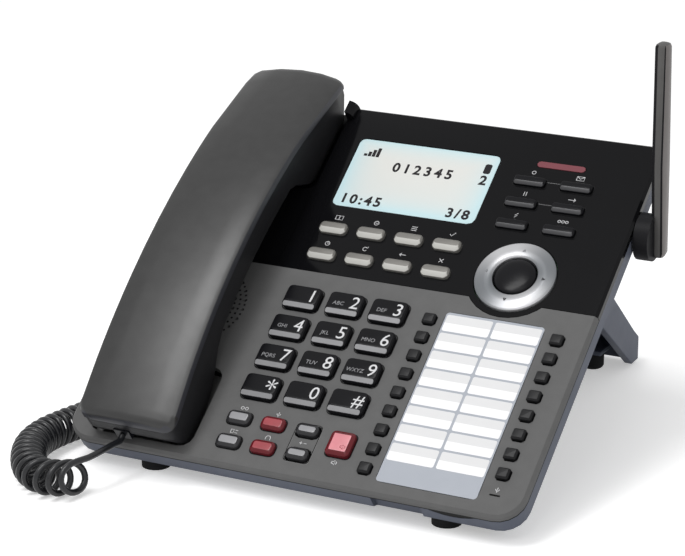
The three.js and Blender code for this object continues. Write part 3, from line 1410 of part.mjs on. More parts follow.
// The origin lies on the desk under the middle of the telephone, cord and plugs left out
const cordNames = ["curly_cord", "handset_lead", "base_lead", "handset_plug", "base_plug"];
const box = new THREE.Box3();
group.updateMatrixWorld(true);
group.traverse((child) => {
  if (child.isMesh && !cordNames.includes(child.name)) box.union(new THREE.Box3().setFromObject(child, true));
});
desk.position.set(-(box.min.x + box.max.x) / 2, -(box.min.y + box.max.y) / 2, 0);

export default group;
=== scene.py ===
"""Looks of a desk telephone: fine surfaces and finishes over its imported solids."""

import json
import logging
import math
from collections.abc import Callable, Iterable
from dataclasses import dataclass, field
from enum import Enum

import bmesh
import bpy
from mathutils import Matrix, Vector

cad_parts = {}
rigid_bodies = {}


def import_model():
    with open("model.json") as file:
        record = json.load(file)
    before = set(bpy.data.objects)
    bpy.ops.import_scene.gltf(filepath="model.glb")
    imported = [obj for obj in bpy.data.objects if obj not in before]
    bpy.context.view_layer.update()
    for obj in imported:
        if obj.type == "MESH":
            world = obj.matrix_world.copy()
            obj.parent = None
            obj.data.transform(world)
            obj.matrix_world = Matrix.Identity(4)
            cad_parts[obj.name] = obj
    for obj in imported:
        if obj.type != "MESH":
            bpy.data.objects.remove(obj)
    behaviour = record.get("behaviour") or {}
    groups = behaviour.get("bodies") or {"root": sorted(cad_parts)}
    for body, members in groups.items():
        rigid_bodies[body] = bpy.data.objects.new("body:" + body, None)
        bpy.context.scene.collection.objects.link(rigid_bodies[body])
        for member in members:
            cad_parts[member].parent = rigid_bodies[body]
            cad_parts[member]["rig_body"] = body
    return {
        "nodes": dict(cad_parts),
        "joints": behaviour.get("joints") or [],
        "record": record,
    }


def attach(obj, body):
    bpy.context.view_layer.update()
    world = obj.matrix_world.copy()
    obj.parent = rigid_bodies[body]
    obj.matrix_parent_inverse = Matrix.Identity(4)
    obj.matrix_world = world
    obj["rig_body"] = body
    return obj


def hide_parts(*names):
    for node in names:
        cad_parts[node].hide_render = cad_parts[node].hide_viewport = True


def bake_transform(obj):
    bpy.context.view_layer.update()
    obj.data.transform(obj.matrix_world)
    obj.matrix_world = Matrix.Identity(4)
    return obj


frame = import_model()
log = logging.getLogger("telephone")

MM = 0.001
FULL_TURN = math.tau

# What the solids share with this script
GAP = 0.3 * MM
KEY_LIP = 0.9 * MM
FRONT_FOOT_PLACE = 16.0 * MM
WEB_HEIGHT = 0.8 * MM
CAP_DEPTH = 0.4 * MM
CAP_SPACE = 5.2 * MM

# Ring of painted shade round a key
SHADE_RIM_WIDTH = 0.55 * MM
SHADE_RIM_HEIGHT = 0.1 * MM
SHADE_RIM_PLAY = 0.08 * MM

# Meshing, with angles in degrees
MERGE = 0.001 * MM
NODE_MERGE = 0.002 * MM
FLAT_ANGLE = 0.5
SHARP_ANGLE = 34
SMOOTH_ANGLE = 32.0
CORNER_STEPS = 5
ROUTE_STEPS = 40
STRETCH_STEPS = 6

# Key caps: their roundings, and the bounds of a painted face's normal
CAP_ANGLE = 30.0
CAP_CORNER_STEPS = 6
CAP_EDGE_STEPS = 2
TOP_RISE = 0.985
FRONT_RISE = (0.2, 0.99)
FRONT_LEAN = 0.15
FRONT_ASIDE = 0.35

# Least cosine between directions that count as the same, or as nearly the same
ALONG = 0.99
MOSTLY_ALONG = 0.9

# Roundings of moulded edges in millimetres
FINE_EDGE = 0.2
EDGE = 0.3
SOFT_EDGE = 0.5
ROUND_EDGE = 0.6

# Surfaces
MOTTLE_SIZE = 6 * MM
MOTTLE_DETAIL = 3.0
SMEAR_SIZE = 14 * MM
GRAIN_DETAIL = 2.0
EVEN_SHARE = 0.85
SMEAR_SHARE = 0.3
COAT_ROUGHNESS = 0.08
WHITE = (1.0, 1.0, 1.0, 1.0)

Color = tuple[int, int, int]
Line = list[tuple[float, float]]


# Shader maths


class Value:
    """A shader socket that Python's operators work on."""

    def __init__(self, graph: "Graph", socket: bpy.types.NodeSocket) -> None:
        """Wraps an output socket of a graph."""
        self.graph = graph
        self.socket = socket

    def _math(self, operation: str, *terms: "Value | float") -> "Value":
        """Output of a Math node that has the terms as its inputs."""
        made = self.graph.node("ShaderNodeMath", dict(enumerate(terms)), operation=operation)
        return Value(self.graph, made.outputs[0])

    def __add__(self, other: "Value | float") -> "Value":
        """Sum."""
        return self._math("ADD", self, other)

    def __sub__(self, other: "Value | float") -> "Value":
        """Difference."""
        return self._math("SUBTRACT", self, other)

    def __rsub__(self, other: float) -> "Value":
        """Reflected difference."""
        return self._math("SUBTRACT", other, self)

    def __mul__(self, other: "Value | float") -> "Value":
        """Product."""
        return self._math("MULTIPLY", self, other)

    def __truediv__(self, other: "Value | float") -> "Value":
        """Quotient."""
        return self._math("DIVIDE", self, other)

    def __abs__(self) -> "Value":
        """Size without its sign."""
        return self._math("ABSOLUTE", self)

    __radd__ = __add__
    __rmul__ = __mul__

    def power(self, exponent: float) -> "Value":
        """Raised to an exponent."""
        return self._math("POWER", self, exponent)

    def larger(self, other: "Value | float") -> "Value":
        """The larger of two values."""
        return self._math("MAXIMUM", self, other)

    def smaller(self, other: "Value | float") -> "Value":
        """The smaller of two values."""
        return self._math("MINIMUM", self, other)

    def cosine(self) -> "Value":
        """Cosine of an angle in radians."""
        return self._math("COSINE", self)

    def bearing(self, y: "Value") -> "Value":
        """Angle in radians of the point with this x and that y."""
        return self._math("ARCTAN2", y, self)


class Graph:
    """Node tree of a material or of the world, and its shader's inputs."""

    def __init__(self, owner: bpy.types.Material | bpy.types.World, shader: str = "Principled BSDF") -> None:
        """Turns on the nodes.

        Args:
            owner: the material or the world.
            shader: the name of its shader's node.
        """
        owner.use_nodes = True
        self.owner = owner
        self.tree = owner.node_tree
        self.inputs = self.tree.nodes[shader].inputs

    def node(self, kind: str, inputs: dict[str | int, object], **settings: object) -> bpy.types.Node:
        """Adds a node.

        Args:
            kind: the node's type.
            inputs: values or links of its sockets.
            settings: what is set on the node before its sockets.

        Returns:
            The node.
        """
        made = self.tree.nodes.new(kind)
        for key, setting in settings.items():
            setattr(made, key, setting)
        self.feed(made.inputs, inputs)
        return made

    def feed(self, sockets: bpy.types.NodeInputs, values: dict[str | int, object]) -> None:
        """Links or sets sockets.

        Args:
            sockets: a node's inputs.
            values: a Value, an output socket or a plain value for each.
        """
        for key, value in values.items():
            source = value.socket if isinstance(value, Value) else value
            if isinstance(source, bpy.types.NodeSocket):
                self.tree.links.new(source, sockets[key])
            else:
                sockets[key].default_value = source

    def place(self) -> bpy.types.NodeSocket:
        """Object coordinates, which are the frame's own in metres."""
        return self.node("ShaderNodeTexCoord", {}).outputs["Object"]

    def rays(self, *kinds: str) -> list[Value]:
        """A value for each kind of ray: 1 where the ray is of that kind, and else 0."""
        path = self.node("ShaderNodeLightPath", {})
        return [Value(self, path.outputs[kind]) for kind in kinds]

    def turned(self, centre: Vector, rotation: Matrix) -> list[Value]:
        """Coordinates about a centre, turned into a frame, in metres.

        Args:
            centre: the new origin in the frame's own coordinates.
            rotation: matrix whose columns are the new axes.

        Returns:
            The three coordinates.
        """
        back = rotation.transposed()
        inputs = {"Vector": self.place(), "Location": -(back @ centre), "Rotation": back.to_euler()}
        mapped = self.node("ShaderNodeMapping", inputs, vector_type="POINT")
        split = self.node("ShaderNodeSeparateXYZ", {0: mapped.outputs[0]})
        return [Value(self, output) for output in split.outputs]

    def noise(self, size: float, detail: float) -> Value:
        """Noise between 0 and 1, with a grain of a size in metres."""
        inputs = {"Vector": self.place(), "Scale": 1.0 / size, "Detail": detail}
        return Value(self, self.node("ShaderNodeTexNoise", inputs).outputs["Fac"])

    def mix(self, share: Value, first: object, second: object) -> bpy.types.NodeSocket:
        """Mixes two colours, with a share of the second."""
        inputs = {0: share, 6: first, 7: second}
        return self.node("ShaderNodeMix", inputs, data_type="RGBA", clamp_factor=True).outputs[2]

    def bump(self, height: Value, distance: float) -> bpy.types.NodeSocket:
        """Normal of a bumpy surface whose bumps have a real height in metres."""
        inputs = {"Height": height, "Distance": distance, "Strength": 1.0}
        return self.node("ShaderNodeBump", inputs).outputs["Normal"]


def linear(*color: int) -> tuple[float, ...]:
    """Linear light, with alpha, of a colour in a screen's bytes."""
    shares = [byte / 255 for byte in color]
    return (*[((c + 0.055) / 1.055) ** 2.4 if c > 0.04045 else c / 12.92 for c in shares], 1.0)


# Finishes


@dataclass(frozen=True)
class Finish:
    """A moulded or painted surface with its grain, mottle and gloss.

    The grain's height and size are in millimetres.
    """

    name: str
    color: Color
    roughness: float
    slot: str = ""
    grain: float = 0.0
    grain_size: float = 0.5
    mottle: float = 0.06
    metallic: float = 0.0
    coat: float = 0.0
    level: float = 0.5

    def tinted(self, graph: Graph) -> bpy.types.NodeSocket:
        """Base colour with a slight unevenness."""
        tints = [[min(255, round(c * (1 + m))) for c in self.color] for m in (-self.mottle, self.mottle)]
        return graph.mix(graph.noise(MOTTLE_SIZE, MOTTLE_DETAIL), *(linear(*tint) for tint in tints))

    def roughened(self, graph: Graph) -> Value:
        """Roughness with faint smears."""
        smears = graph.noise(SMEAR_SIZE, GRAIN_DETAIL) * (SMEAR_SHARE * self.roughness)
        return smears + EVEN_SHARE * self.roughness

    def material(self) -> bpy.types.Material:
        """Makes the finish's material, once.

        Returns:
            The material.
        """
        title = f"{self.name}_finish"
        if title in bpy.data.materials:
            return bpy.data.materials[title]
        graph = Graph(bpy.data.materials.new(title))
        looks = {
            "Base Color": self.tinted(graph),
            "Roughness": self.roughened(graph),
            "Metallic": self.metallic,
            "Coat Weight": self.coat,
            "Coat Roughness": COAT_ROUGHNESS,
            "Specular IOR Level": self.level,
        }
        if self.grain:
            looks["Normal"] = graph.bump(graph.noise(self.grain_size * MM, GRAIN_DETAIL), self.grain * MM)
        graph.feed(graph.inputs, looks)
        return graph.owner


COVER = Finish("cover_charcoal", (100, 100, 100), 0.6, grain=0.03, grain_size=0.55, mottle=0.05, level=0.15)
FASCIA = Finish("fascia_black", (15, 15, 17), 0.14, mottle=0.02, level=0.1)
TRAY = Finish(
    "tray_blue_grey", (92, 97, 110), 0.5, "tray_grey", grain=0.02, grain_size=0.6, mottle=0.04, level=0.2
)
SATIN = Finish("handset_satin", (66, 66, 66), 0.36, grain=0.012, grain_size=0.4, metallic=0.8, level=0.3)
# Painted shade on the satin back's end and sides
SATIN_SHADE = Finish("handset_satin_painted_shade", (47, 48, 54), 0.4, "handset_satin", grain=0.006, metallic=0.2)
HANDSET_DARK = Finish("handset_dark", (36, 36, 38), 0.42, grain=0.012, mottle=0.04, level=0.15)
ANTENNA_GREY = Finish("antenna_grey", (88, 87, 86), 0.5, grain=0.015, level=0.2)
# Painted highlight on the blade's outer face, and painted shade on its hub, inner bevel and groove
ANTENNA_HIGHLIGHT = Finish("antenna_painted_highlight", (118, 113, 111), 0.4, "antenna_grey", grain=0.01, level=0.4)
ANTENNA_SHADE = Finish("antenna_painted_shade", (30, 30, 32), 0.4, "antenna_grey", mottle=0.03, level=0.06)
KEY_BLACK = Finish("key_black", (17, 17, 20), 0.22, mottle=0.02, level=0.12)
KEY_RUBBER = Finish("key_rubber", (18, 18, 20), 0.34, grain=0.008, level=0.2)
# Small and speaker keys: darker colours on the sloping rims, lighter on the tops, which are partly a paler
# insert under a clear cap, partly a painted highlight
KEY_SMOKE = Finish("key_smoke", (46, 46, 48), 0.22, "key_grey", coat=0.1, level=0.2)
KEY_GREY = Finish("key_grey", (148, 148, 151), 0.25, coat=0.1, mottle=0.08, level=0.3)
KEY_WINE = Finish("key_wine", (98, 26, 33), 0.22, "key_red", coat=0.1, mottle=0.08, level=0.2)
KEY_RED = Finish("key_red", (160, 74, 80), 0.25, coat=0.1, mottle=0.1, level=0.2)
KEY_ROSE = Finish("key_rose", (220, 138, 146), 0.3, "key_red", coat=0.1, mottle=0.08, level=0.3)
EDGE_SILVER = Finish("key_edge_silver", (118, 118, 120), 0.35, "key_black", metallic=0.4, mottle=0.04)
SILVER_TOP = Finish(
    "key_silver_top", (118, 116, 112), 0.4, "key_silver", metallic=0.2, mottle=0.05, level=0.3
)
# Painted highlight: the lighter silver on the front slope of the menu keys
SILVER_HIGHLIGHT = Finish("key_silver_painted_highlight", (190, 189, 184), 0.35, "key_silver", mottle=0.02, level=0.3)
# Painted highlight on the front slope of the black call keys
CALL_HIGHLIGHT = Finish("call_key_painted_highlight", (62, 62, 64), 0.3, "key_black", metallic=0.2, mottle=0.05, level=0.3)
LAMP_RED = Finish("lamp_red", (124, 66, 74), 0.35, mottle=0.05, level=0.2)
PLUG_CLEAR = Finish("plug_clear", (24, 25, 29), 0.3, level=0.2)
CORD_BLACK = Finish("cord_black", (27, 28, 31), 0.28, grain=0.004, mottle=0.04, level=0.4)
FOOT_RUBBER = Finish("foot_rubber", (22, 22, 24), 0.75, grain=0.01, level=0.2)
SWITCH_BLACK = Finish("switch_black", (20, 20, 22), 0.45, grain=0.005, level=0.15)
STEEL = Finish("speaker_steel", (150, 152, 156), 0.35, metallic=0.9, grain=0.004)
BOARD = Finish("board_green", (46, 92, 58), 0.4, grain=0.01, grain_size=1.5, mottle=0.2)
CARD = Finish("card_paper", (169, 174, 183), 0.6, mottle=0.01, coat=0.2)
CARD_WHITE = Finish("card_white", (250, 250, 251), 0.6, "card_paper", mottle=0.005, coat=0.2)
CARD_SHADE = Finish("card_shade", (226, 226, 227), 0.6, "card_paper", mottle=0.01, coat=0.2)
PRINT_WHITE = Finish("print_white", (212, 212, 214), 0.5, "cover_charcoal", mottle=0.01)
PRINT_SOFT = Finish("print_soft", (140, 140, 143), 0.5, "key_black", mottle=0.02)
PRINT_GREY = Finish("print_grey", (150, 152, 155), 0.5, "key_silver", mottle=0.01)
# Painted shade: black laid round the keys, along the cover's seam and in the volume outline's groove; the
# grille's dots use it too
GAP_SHADE = Finish("gap_shade", (14, 14, 15), 0.5, "cover_charcoal", mottle=0.01, level=0.1)
# Painted highlight along one edge of the volume outline's groove
GROOVE_HIGHLIGHT = Finish("groove_painted_highlight", (128, 128, 128), 0.5, "cover_charcoal", mottle=0.01)
RIB_BLACK = Finish("rib_black", (34, 34, 37), 0.3, "fascia_black", mottle=0.02, level=0.3)
DISPLAY_INK = Finish("display_ink", (40, 38, 40), 0.6, "display_window", mottle=0.02, level=0.1)


@dataclass(frozen=True)
class PanelFinish(Finish):
    """Finish whose colours change about a place of the panel."""

    second: Color = (0, 0, 0)
    centre: tuple[float, ...] = (0.0, 0.0, 0.0)
    axes: tuple[tuple[float, ...], ...] = ()

    def share(self, x: Value, y: Value) -> Value:
        """Share of the second colour at a place across and up the slope."""
        raise NotImplementedError

    def tinted(self, graph: Graph) -> bpy.types.NodeSocket:
        """Mix of the two colours."""
        x, y, _ = graph.turned(Vector(self.centre), Matrix(self.axes))
        return graph.mix(self.share(x, y), linear(*self.color), linear(*self.second))


@dataclass(frozen=True)
class RimLight(PanelFinish):
    """Display with a bluish light that grows towards its rim."""

    half_width: float = 1.0
    half_depth: float = 1.0
    steepness: tuple[float, float] = (5, 4)
    low_share: float = 0.35

    def share(self, x: Value, y: Value) -> Value:
        """Share of the rim's colour, which is also stronger in the lower half.

        Args:
            x: distance across.
            y: distance up the slope.

        Returns:
            The share.
        """
        sides = (abs(x) / self.half_width, abs(y) / self.half_depth)
        across, along = (side.power(steepness) for side, steepness in zip(sides, self.steepness))
        low = (y / self.half_depth * -0.5 + 0.5).power(2)
        return (across.larger(along) + low * self.low_share).smaller(1.0)


@dataclass(frozen=True)
class SheenPaintedRing(PanelFinish):
    """Silver with the sheen of its turning marks painted in: lighter in two opposite sectors and towards one
    side.
    """

    phase: float = 1.1
    bright_side: float = 2.0
    sharpness: float = 1.3
    sector_share: float = 0.85
    side_share: float = 0.25

    def share(self, x: Value, y: Value) -> Value:
        """Share of the painted sheen's bright silver.

        Args:
            x: distance across.
            y: distance up the slope.

        Returns:
            The share.
        """
        angle = x.bearing(y)
        sector = ((angle * 2.0 - self.phase).cosine() * -0.5 + 0.5).power(self.sharpness)
        side = ((angle - self.bright_side).cosine() * 0.5 + 0.5) * self.side_share
        return sector * self.sector_share + side


# Modelling


def settle(piece: bpy.types.Object) -> None:
    """Makes one object the only selected one.

    Args:
        piece: the object.
    """
    if bpy.context.object and bpy.context.object.mode != "OBJECT":
        bpy.ops.object.mode_set(mode="OBJECT")
    bpy.ops.object.select_all(action="DESELECT")
    piece.select_set(True)
    bpy.context.view_layer.objects.active = piece


def fixed(piece: bpy.types.Object, name: str) -> bpy.types.Object:
    """Puts a piece's place, turn and scale into its mesh, and names it.

    Args:
        piece: the object.
        name: its name.

    Returns:
        The piece.
    """
    piece.name = name
    settle(piece)
    bpy.ops.object.transform_apply(location=True, rotation=True, scale=True)
    return piece


def placed(name: str, data: bpy.types.ID) -> bpy.types.Object:
    """New object of the scene for a mesh, a curve, a light or a camera.

    Args:
        name: its name.
        data: what it shows.

    Returns:
        The object.
    """
    piece = bpy.data.objects.new(name, data)
    bpy.context.scene.collection.objects.link(piece)
    return piece


class Shaping:
    """Edit mode on one mesh, with faces and edges selected in code."""

    def __init__(self, piece: bpy.types.Object) -> None:
        """Chooses the mesh."""
        self.piece = piece

    def __enter__(self) -> "Shaping":
        """Enters edit mode with nothing selected.

        Returns:
            Itself.
        """
        settle(self.piece)
        bpy.ops.object.mode_set(mode="EDIT")
        bpy.ops.mesh.select_all(action="DESELECT")
        return self

    def __exit__(self, *_: object) -> None:
        """Leaves edit mode."""
        bpy.ops.object.mode_set(mode="OBJECT")

    def select(self, kind: str, test: Callable[[object], bool]) -> None:
        """Selects the edges or the faces that pass a test, and nothing else.

        Args:
            kind: EDGE or FACE.
            test: what one must pass.
        """
        bpy.ops.mesh.select_mode(type=kind)
        mesh = bmesh.from_edit_mesh(self.piece.data)
        group = mesh.edges if kind == "EDGE" else mesh.faces
        for element in group:
            element.select_set(False)
        for element in [element for element in group if test(element)]:
            element.select_set(True)
        mesh.select_flush_mode()
        bmesh.update_edit_mesh(self.piece.data)

    def where(self, test: Callable[[bmesh.types.BMFace], bool]) -> list[Vector]:
        """Corners of the faces that pass a test."""
        mesh = bmesh.from_edit_mesh(self.piece.data)
        return [vertex.co.copy() for face in mesh.faces if test(face) for vertex in face.verts]

    def bevel(self, width: float, segments: int, test: Callable[[bmesh.types.BMEdge], bool]) -> None:
        """Rounds the edges that pass a test, by a width in metres."""
        self.select("EDGE", test)
        bpy.ops.mesh.bevel(offset=width, segments=segments, affect="EDGES", clamp_overlap=True)

    def paint(self, slot: int, test: Callable[[bmesh.types.BMFace], bool]) -> None:
        """Gives the faces that pass a test the material of a slot.

        Args:
            slot: the slot's number.
            test: what a face must pass.
        """
        self.select("FACE", test)
        self.piece.active_material_index = slot
        bpy.ops.object.material_slot_assign()

    def merge(self, distance: float) -> None:
        """Merges corners closer than a distance, and leaves the whole mesh selected."""
        bpy.ops.mesh.select_all(action="SELECT")
        bpy.ops.mesh.remove_doubles(threshold=distance)

    def cut(self, place: Vector, normal: Vector) -> None:
        """Cuts the whole mesh along a plane and keeps both sides."""
        bpy.ops.mesh.select_all(action="SELECT")
        bpy.ops.mesh.bisect(plane_co=place, plane_no=normal)


def upright(edge: bmesh.types.BMEdge) -> bool:
    """Whether an edge runs along z."""
    return abs((edge.verts[0].co - edge.verts[1].co).normalized().z) > ALONG


def add_slots(piece: bpy.types.Object, *finishes: Finish) -> None:
    """Adds a material slot for each finish."""
    for finish in finishes:
        piece.data.materials.append(finish.material())


def dress(piece: bpy.types.Object, body: str, *finishes: Finish) -> bpy.types.Object:
    """Gives a piece its finishes and its body.

    Args:
        piece: the object.
        body: the body that it rides on.
        finishes: one for each material slot.

    Returns:
        The piece.
    """
    slots = piece.data.materials
    for index, finish in enumerate(finishes[: len(slots)]):
        slots[index] = finish.material()
    add_slots(piece, *finishes[len(slots) :])
    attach(piece, body)
    return piece


def smooth(piece: bpy.types.Object, angle: float = SMOOTH_ANGLE) -> None:
    """Shades a mesh smooth but for edges sharper than an angle in degrees."""
    settle(piece)
    bpy.ops.object.shade_smooth_by_angle(angle=math.radians(angle))


def merged_copy(node: str) -> bpy.types.Object:
    """Copy of a node with its doubles merged and its flat faces whole.

    Args:
        node: the node's name.

    Returns:
        The copy, on no body.
    """
    piece = placed(f"{node}_skin", frame["nodes"][node].data.copy())
    with Shaping(piece) as shaping:
        shaping.merge(NODE_MERGE)
        bpy.ops.mesh.customdata_custom_splitnormals_clear()
        bpy.ops.mesh.dissolve_limited(angle_limit=math.radians(FLAT_ANGLE))
    return piece


def softened(node: str, finish: Finish, width: float, segments: int = 2) -> bpy.types.Object:
    """Stand-in for a node with its edges rounded as moulded ones are.

    Args:
        node: the node's name.
        finish: its finish.
        width: the rounding in millimetres.
        segments: its steps.

    Returns:
        The piece.
    """
    piece = merged_copy(node)
    smooth(piece)
    bevel = piece.modifiers.new("Bevel", "BEVEL")
    bevel.width = width * MM
    bevel.segments = segments
    bevel.limit_method = "ANGLE"
    bevel.angle_limit = math.radians(SHARP_ANGLE)
    bevel.use_clamp_overlap = True
    bevel.harden_normals = True
    bpy.ops.object.modifier_apply(modifier=bevel.name)
    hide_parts(node)
    return dress(piece, frame["nodes"][node]["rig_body"], finish)


def cube(name: str, size: Vector, centre: Vector) -> bpy.types.Object:
    """Block to start a piece from, with its place in its mesh.

    Args:
        name: the piece's name.
        size: its sides in metres.
        centre: its middle.

    Returns:
        The block.
    """
    bpy.ops.mesh.primitive_cube_add(size=1.0, location=centre)
    piece = bpy.context.object
    piece.scale = size
    return fixed(piece, name)


def plate(name: str, size: Vector, corner: float) -> bpy.types.Object:
    """Thin plate about the origin, with round corners.

    Args:
        name: the piece's name.
        size: its width, depth and thickness.
        corner: its corner's radius.

    Returns:
        The plate.
    """
    piece = cube(name, size, Vector())
    with Shaping(piece) as shaping:
        shaping.bevel(corner, CORNER_STEPS, upright)
    return piece


def lathed(name: str, profile: Line, steps: int, angle: float = 0.0) -> bpy.types.Object:
    """Round piece about the origin from a profile of radius and height.

    Args:
        name: the piece's name.
        profile: radius and height of each ring in millimetres, to the top's rim or back to the first.
        steps: sides of the circle.
        angle: the least angle of a sharp edge in degrees, or 0 for flat faces.

    Returns:
        The piece.
    """
    radius, height = profile[0]
    bpy.ops.mesh.primitive_circle_add(vertices=steps, radius=radius * MM, location=(0, 0, height * MM))
    piece = fixed(bpy.context.object, name)
    with Shaping(piece) as shaping:
        bpy.ops.mesh.select_all(action="SELECT")
        for before, after in zip(profile, profile[1:]):
            rise = (0, 0, after[1] * MM - before[1] * MM)
            bpy.ops.mesh.extrude_edges_move(TRANSFORM_OT_translate={"value": rise})
            ratio = after[0] / before[0]
            bpy.ops.transform.resize(value=(ratio, ratio, 1), center_override=(0, 0, 0))
        if profile[-1] != profile[0]:
            bpy.ops.mesh.edge_face_add()
        shaping.merge(MERGE)
        bpy.ops.mesh.normals_make_consistent(inside=False)
    if angle:
        smooth(piece, angle)
    return piece


def wire(name: str, lines: Iterable[Iterable], radius: float, rounding: int = 0) -> bpy.types.Object:
    """Round wires along lines, with closed ends.

    Args:
        name: the piece's name.
        lines: the points of each.
        radius: the wires' radius.
        rounding: extra steps of a quarter of their circle.

    Returns:
        The curve.
    """
    curve = bpy.data.curves.new(name, "CURVE")
    curve.dimensions = "3D"
    curve.bevel_depth = radius
    curve.bevel_resolution = rounding
    curve.use_fill_caps = True
    for line in lines:
        spline = curve.splines.new("POLY")
        spline.points.add(len(line) - 1)
        for place, point in zip(spline.points, line):
            place.co = (*point, 1.0)
        spline.use_smooth = True
    return placed(name, curve)


def meshed(piece: bpy.types.Object) -> bpy.types.Object:
    """Makes a text or a curve a mesh.

    Args:
        piece: the text or the curve.

    Returns:
        The mesh's object.
    """
    settle(piece)
    bpy.ops.object.convert(target="MESH")
    return bpy.context.object


def copied(pattern: bpy.types.Object, name: str) -> bpy.types.Object:
    """Copy of a pattern with its own mesh."""
    return placed(name, pattern.data.copy())


def discard(*patterns: bpy.types.Object) -> None:
    """Removes patterns once their copies are made."""
    for pattern in patterns:
        bpy.data.objects.remove(pattern, do_unlink=True)


@dataclass(frozen=True)
class Type:
    """Thin raised type: sizes in metres, weight as a share of the height."""

    height: float
    depth: float
    weight: float = 0.0
    slant: float = 0.0
    spacing: float = 1.0
    cap_share: float = 0.72
    curve_steps: int = 3

    def write(self, name: str, text: str) -> bpy.types.Object:
        """Writes a text about the origin.

        Args:
            name: the piece's name.
            text: the text.

        Returns:
            The text as a mesh.
        """
        bpy.ops.object.text_add(location=(0.0, 0.0, 0.0))
        piece = bpy.context.object
        piece.data.body = text
        piece.data.size = self.height / self.cap_share
        piece.data.shear = self.slant
        piece.data.extrude = self.depth / 2
        piece.data.offset = self.height * self.weight
        piece.data.space_character = self.spacing
        piece.data.resolution_u = self.curve_steps
        piece.data.align_x = "CENTER"
        piece.data.align_y = "CENTER"
        piece = meshed(piece)
        piece.name = name
        with Shaping(piece) as shaping:
            shaping.merge(MERGE)
        return piece


def span(points: Iterable[Vector]) -> tuple[Vector, Vector]:
    """Lowest and highest corner of the box round some points."""
    sides = list(zip(*points))
    return Vector(map(min, sides)), Vector(map(max, sides))


def front_feet() -> list[Vector]:
    """Places of the two front feet on the desk."""
    mounts = {mount["name"]: Vector(mount["pos_m"]) for mount in frame["record"]["mounts"]}
    return [mounts["front_foot_left"], mounts["front_foot_right"]]


def named(stem: str, count: int) -> list[str]:
    """Names that share a stem and have a running number."""
    return [f"{stem}_{index}" for index in range(1, count + 1)]


class Panel:
    """The console's sloping panel as a frame: x across, y up the slope, z off the panel."""

    def __init__(self) -> None:
        """Reads the slope from the handset's lift."""
        lift = next(joint for joint in frame["joints"] if joint["name"] == "handset_lift")
        self.normal = Vector(lift["axis"]).normalized()
        across = Vector((1.0, 0.0, 0.0))
        self.axes = Matrix((across, self.normal.cross(across), self.normal)).transposed()
        self.surface = self.box("top_cover")[1].z

    def corners(self, node: str) -> list[Vector]:
        """A node's corners in the panel's frame."""
        turn = self.axes.transposed()
        return [turn @ vertex.co for vertex in frame["nodes"][node].data.vertices]

    def box(self, node: str) -> tuple[Vector, Vector]:
        """Lowest and highest corner of a node in the panel's frame."""
        return span(self.corners(node))

    def middle(self, node: str, height: float | None = None) -> Vector:
        """Middle of a node's top, or the place over it at a height.

        Args:
            node: the node's name.
            height: the height in the panel's frame.

        Returns:
            The place in the panel's frame.
        """
        low, high = self.box(node)
        return Vector(((low.x + high.x) / 2, (low.y + high.y) / 2, high.z if height is None else height))

    def caps(self, node: str) -> list[tuple[Vector, Vector]]:
        """Lowest and highest corner of each cap's top along a strip.

        Args:
            node: the strip's node.

        Returns:
            A pair of corners for each cap, up the slope.
        """
        points = self.corners(node)
        top = max(point.z for point in points) - CAP_DEPTH
        points = sorted((point for point in points if point.z > top), key=lambda point: point.y)
        groups = [[points[0]]]
        for point in points[1:]:
            if point.y - groups[-1][-1].y > CAP_SPACE:
                groups.append([])
            groups[-1].append(point)
        return [span(group) for group in groups]

    def seat(self, piece: bpy.types.Object, centre: Vector) -> bpy.types.Object:
        """Sets a piece that was modelled about the origin onto a place of the panel."""
        piece.matrix_world = self.axes.to_4x4() @ Matrix.Translation(centre)
        return fixed(piece, piece.name)

    def pattern(self, centre: Vector) -> dict[str, tuple]:
        """Centre and axes of a finish about a place of the panel."""
        return {"centre": tuple(self.axes @ centre), "axes": tuple(tuple(row) for row in self.axes)}


# Sub-assemblies


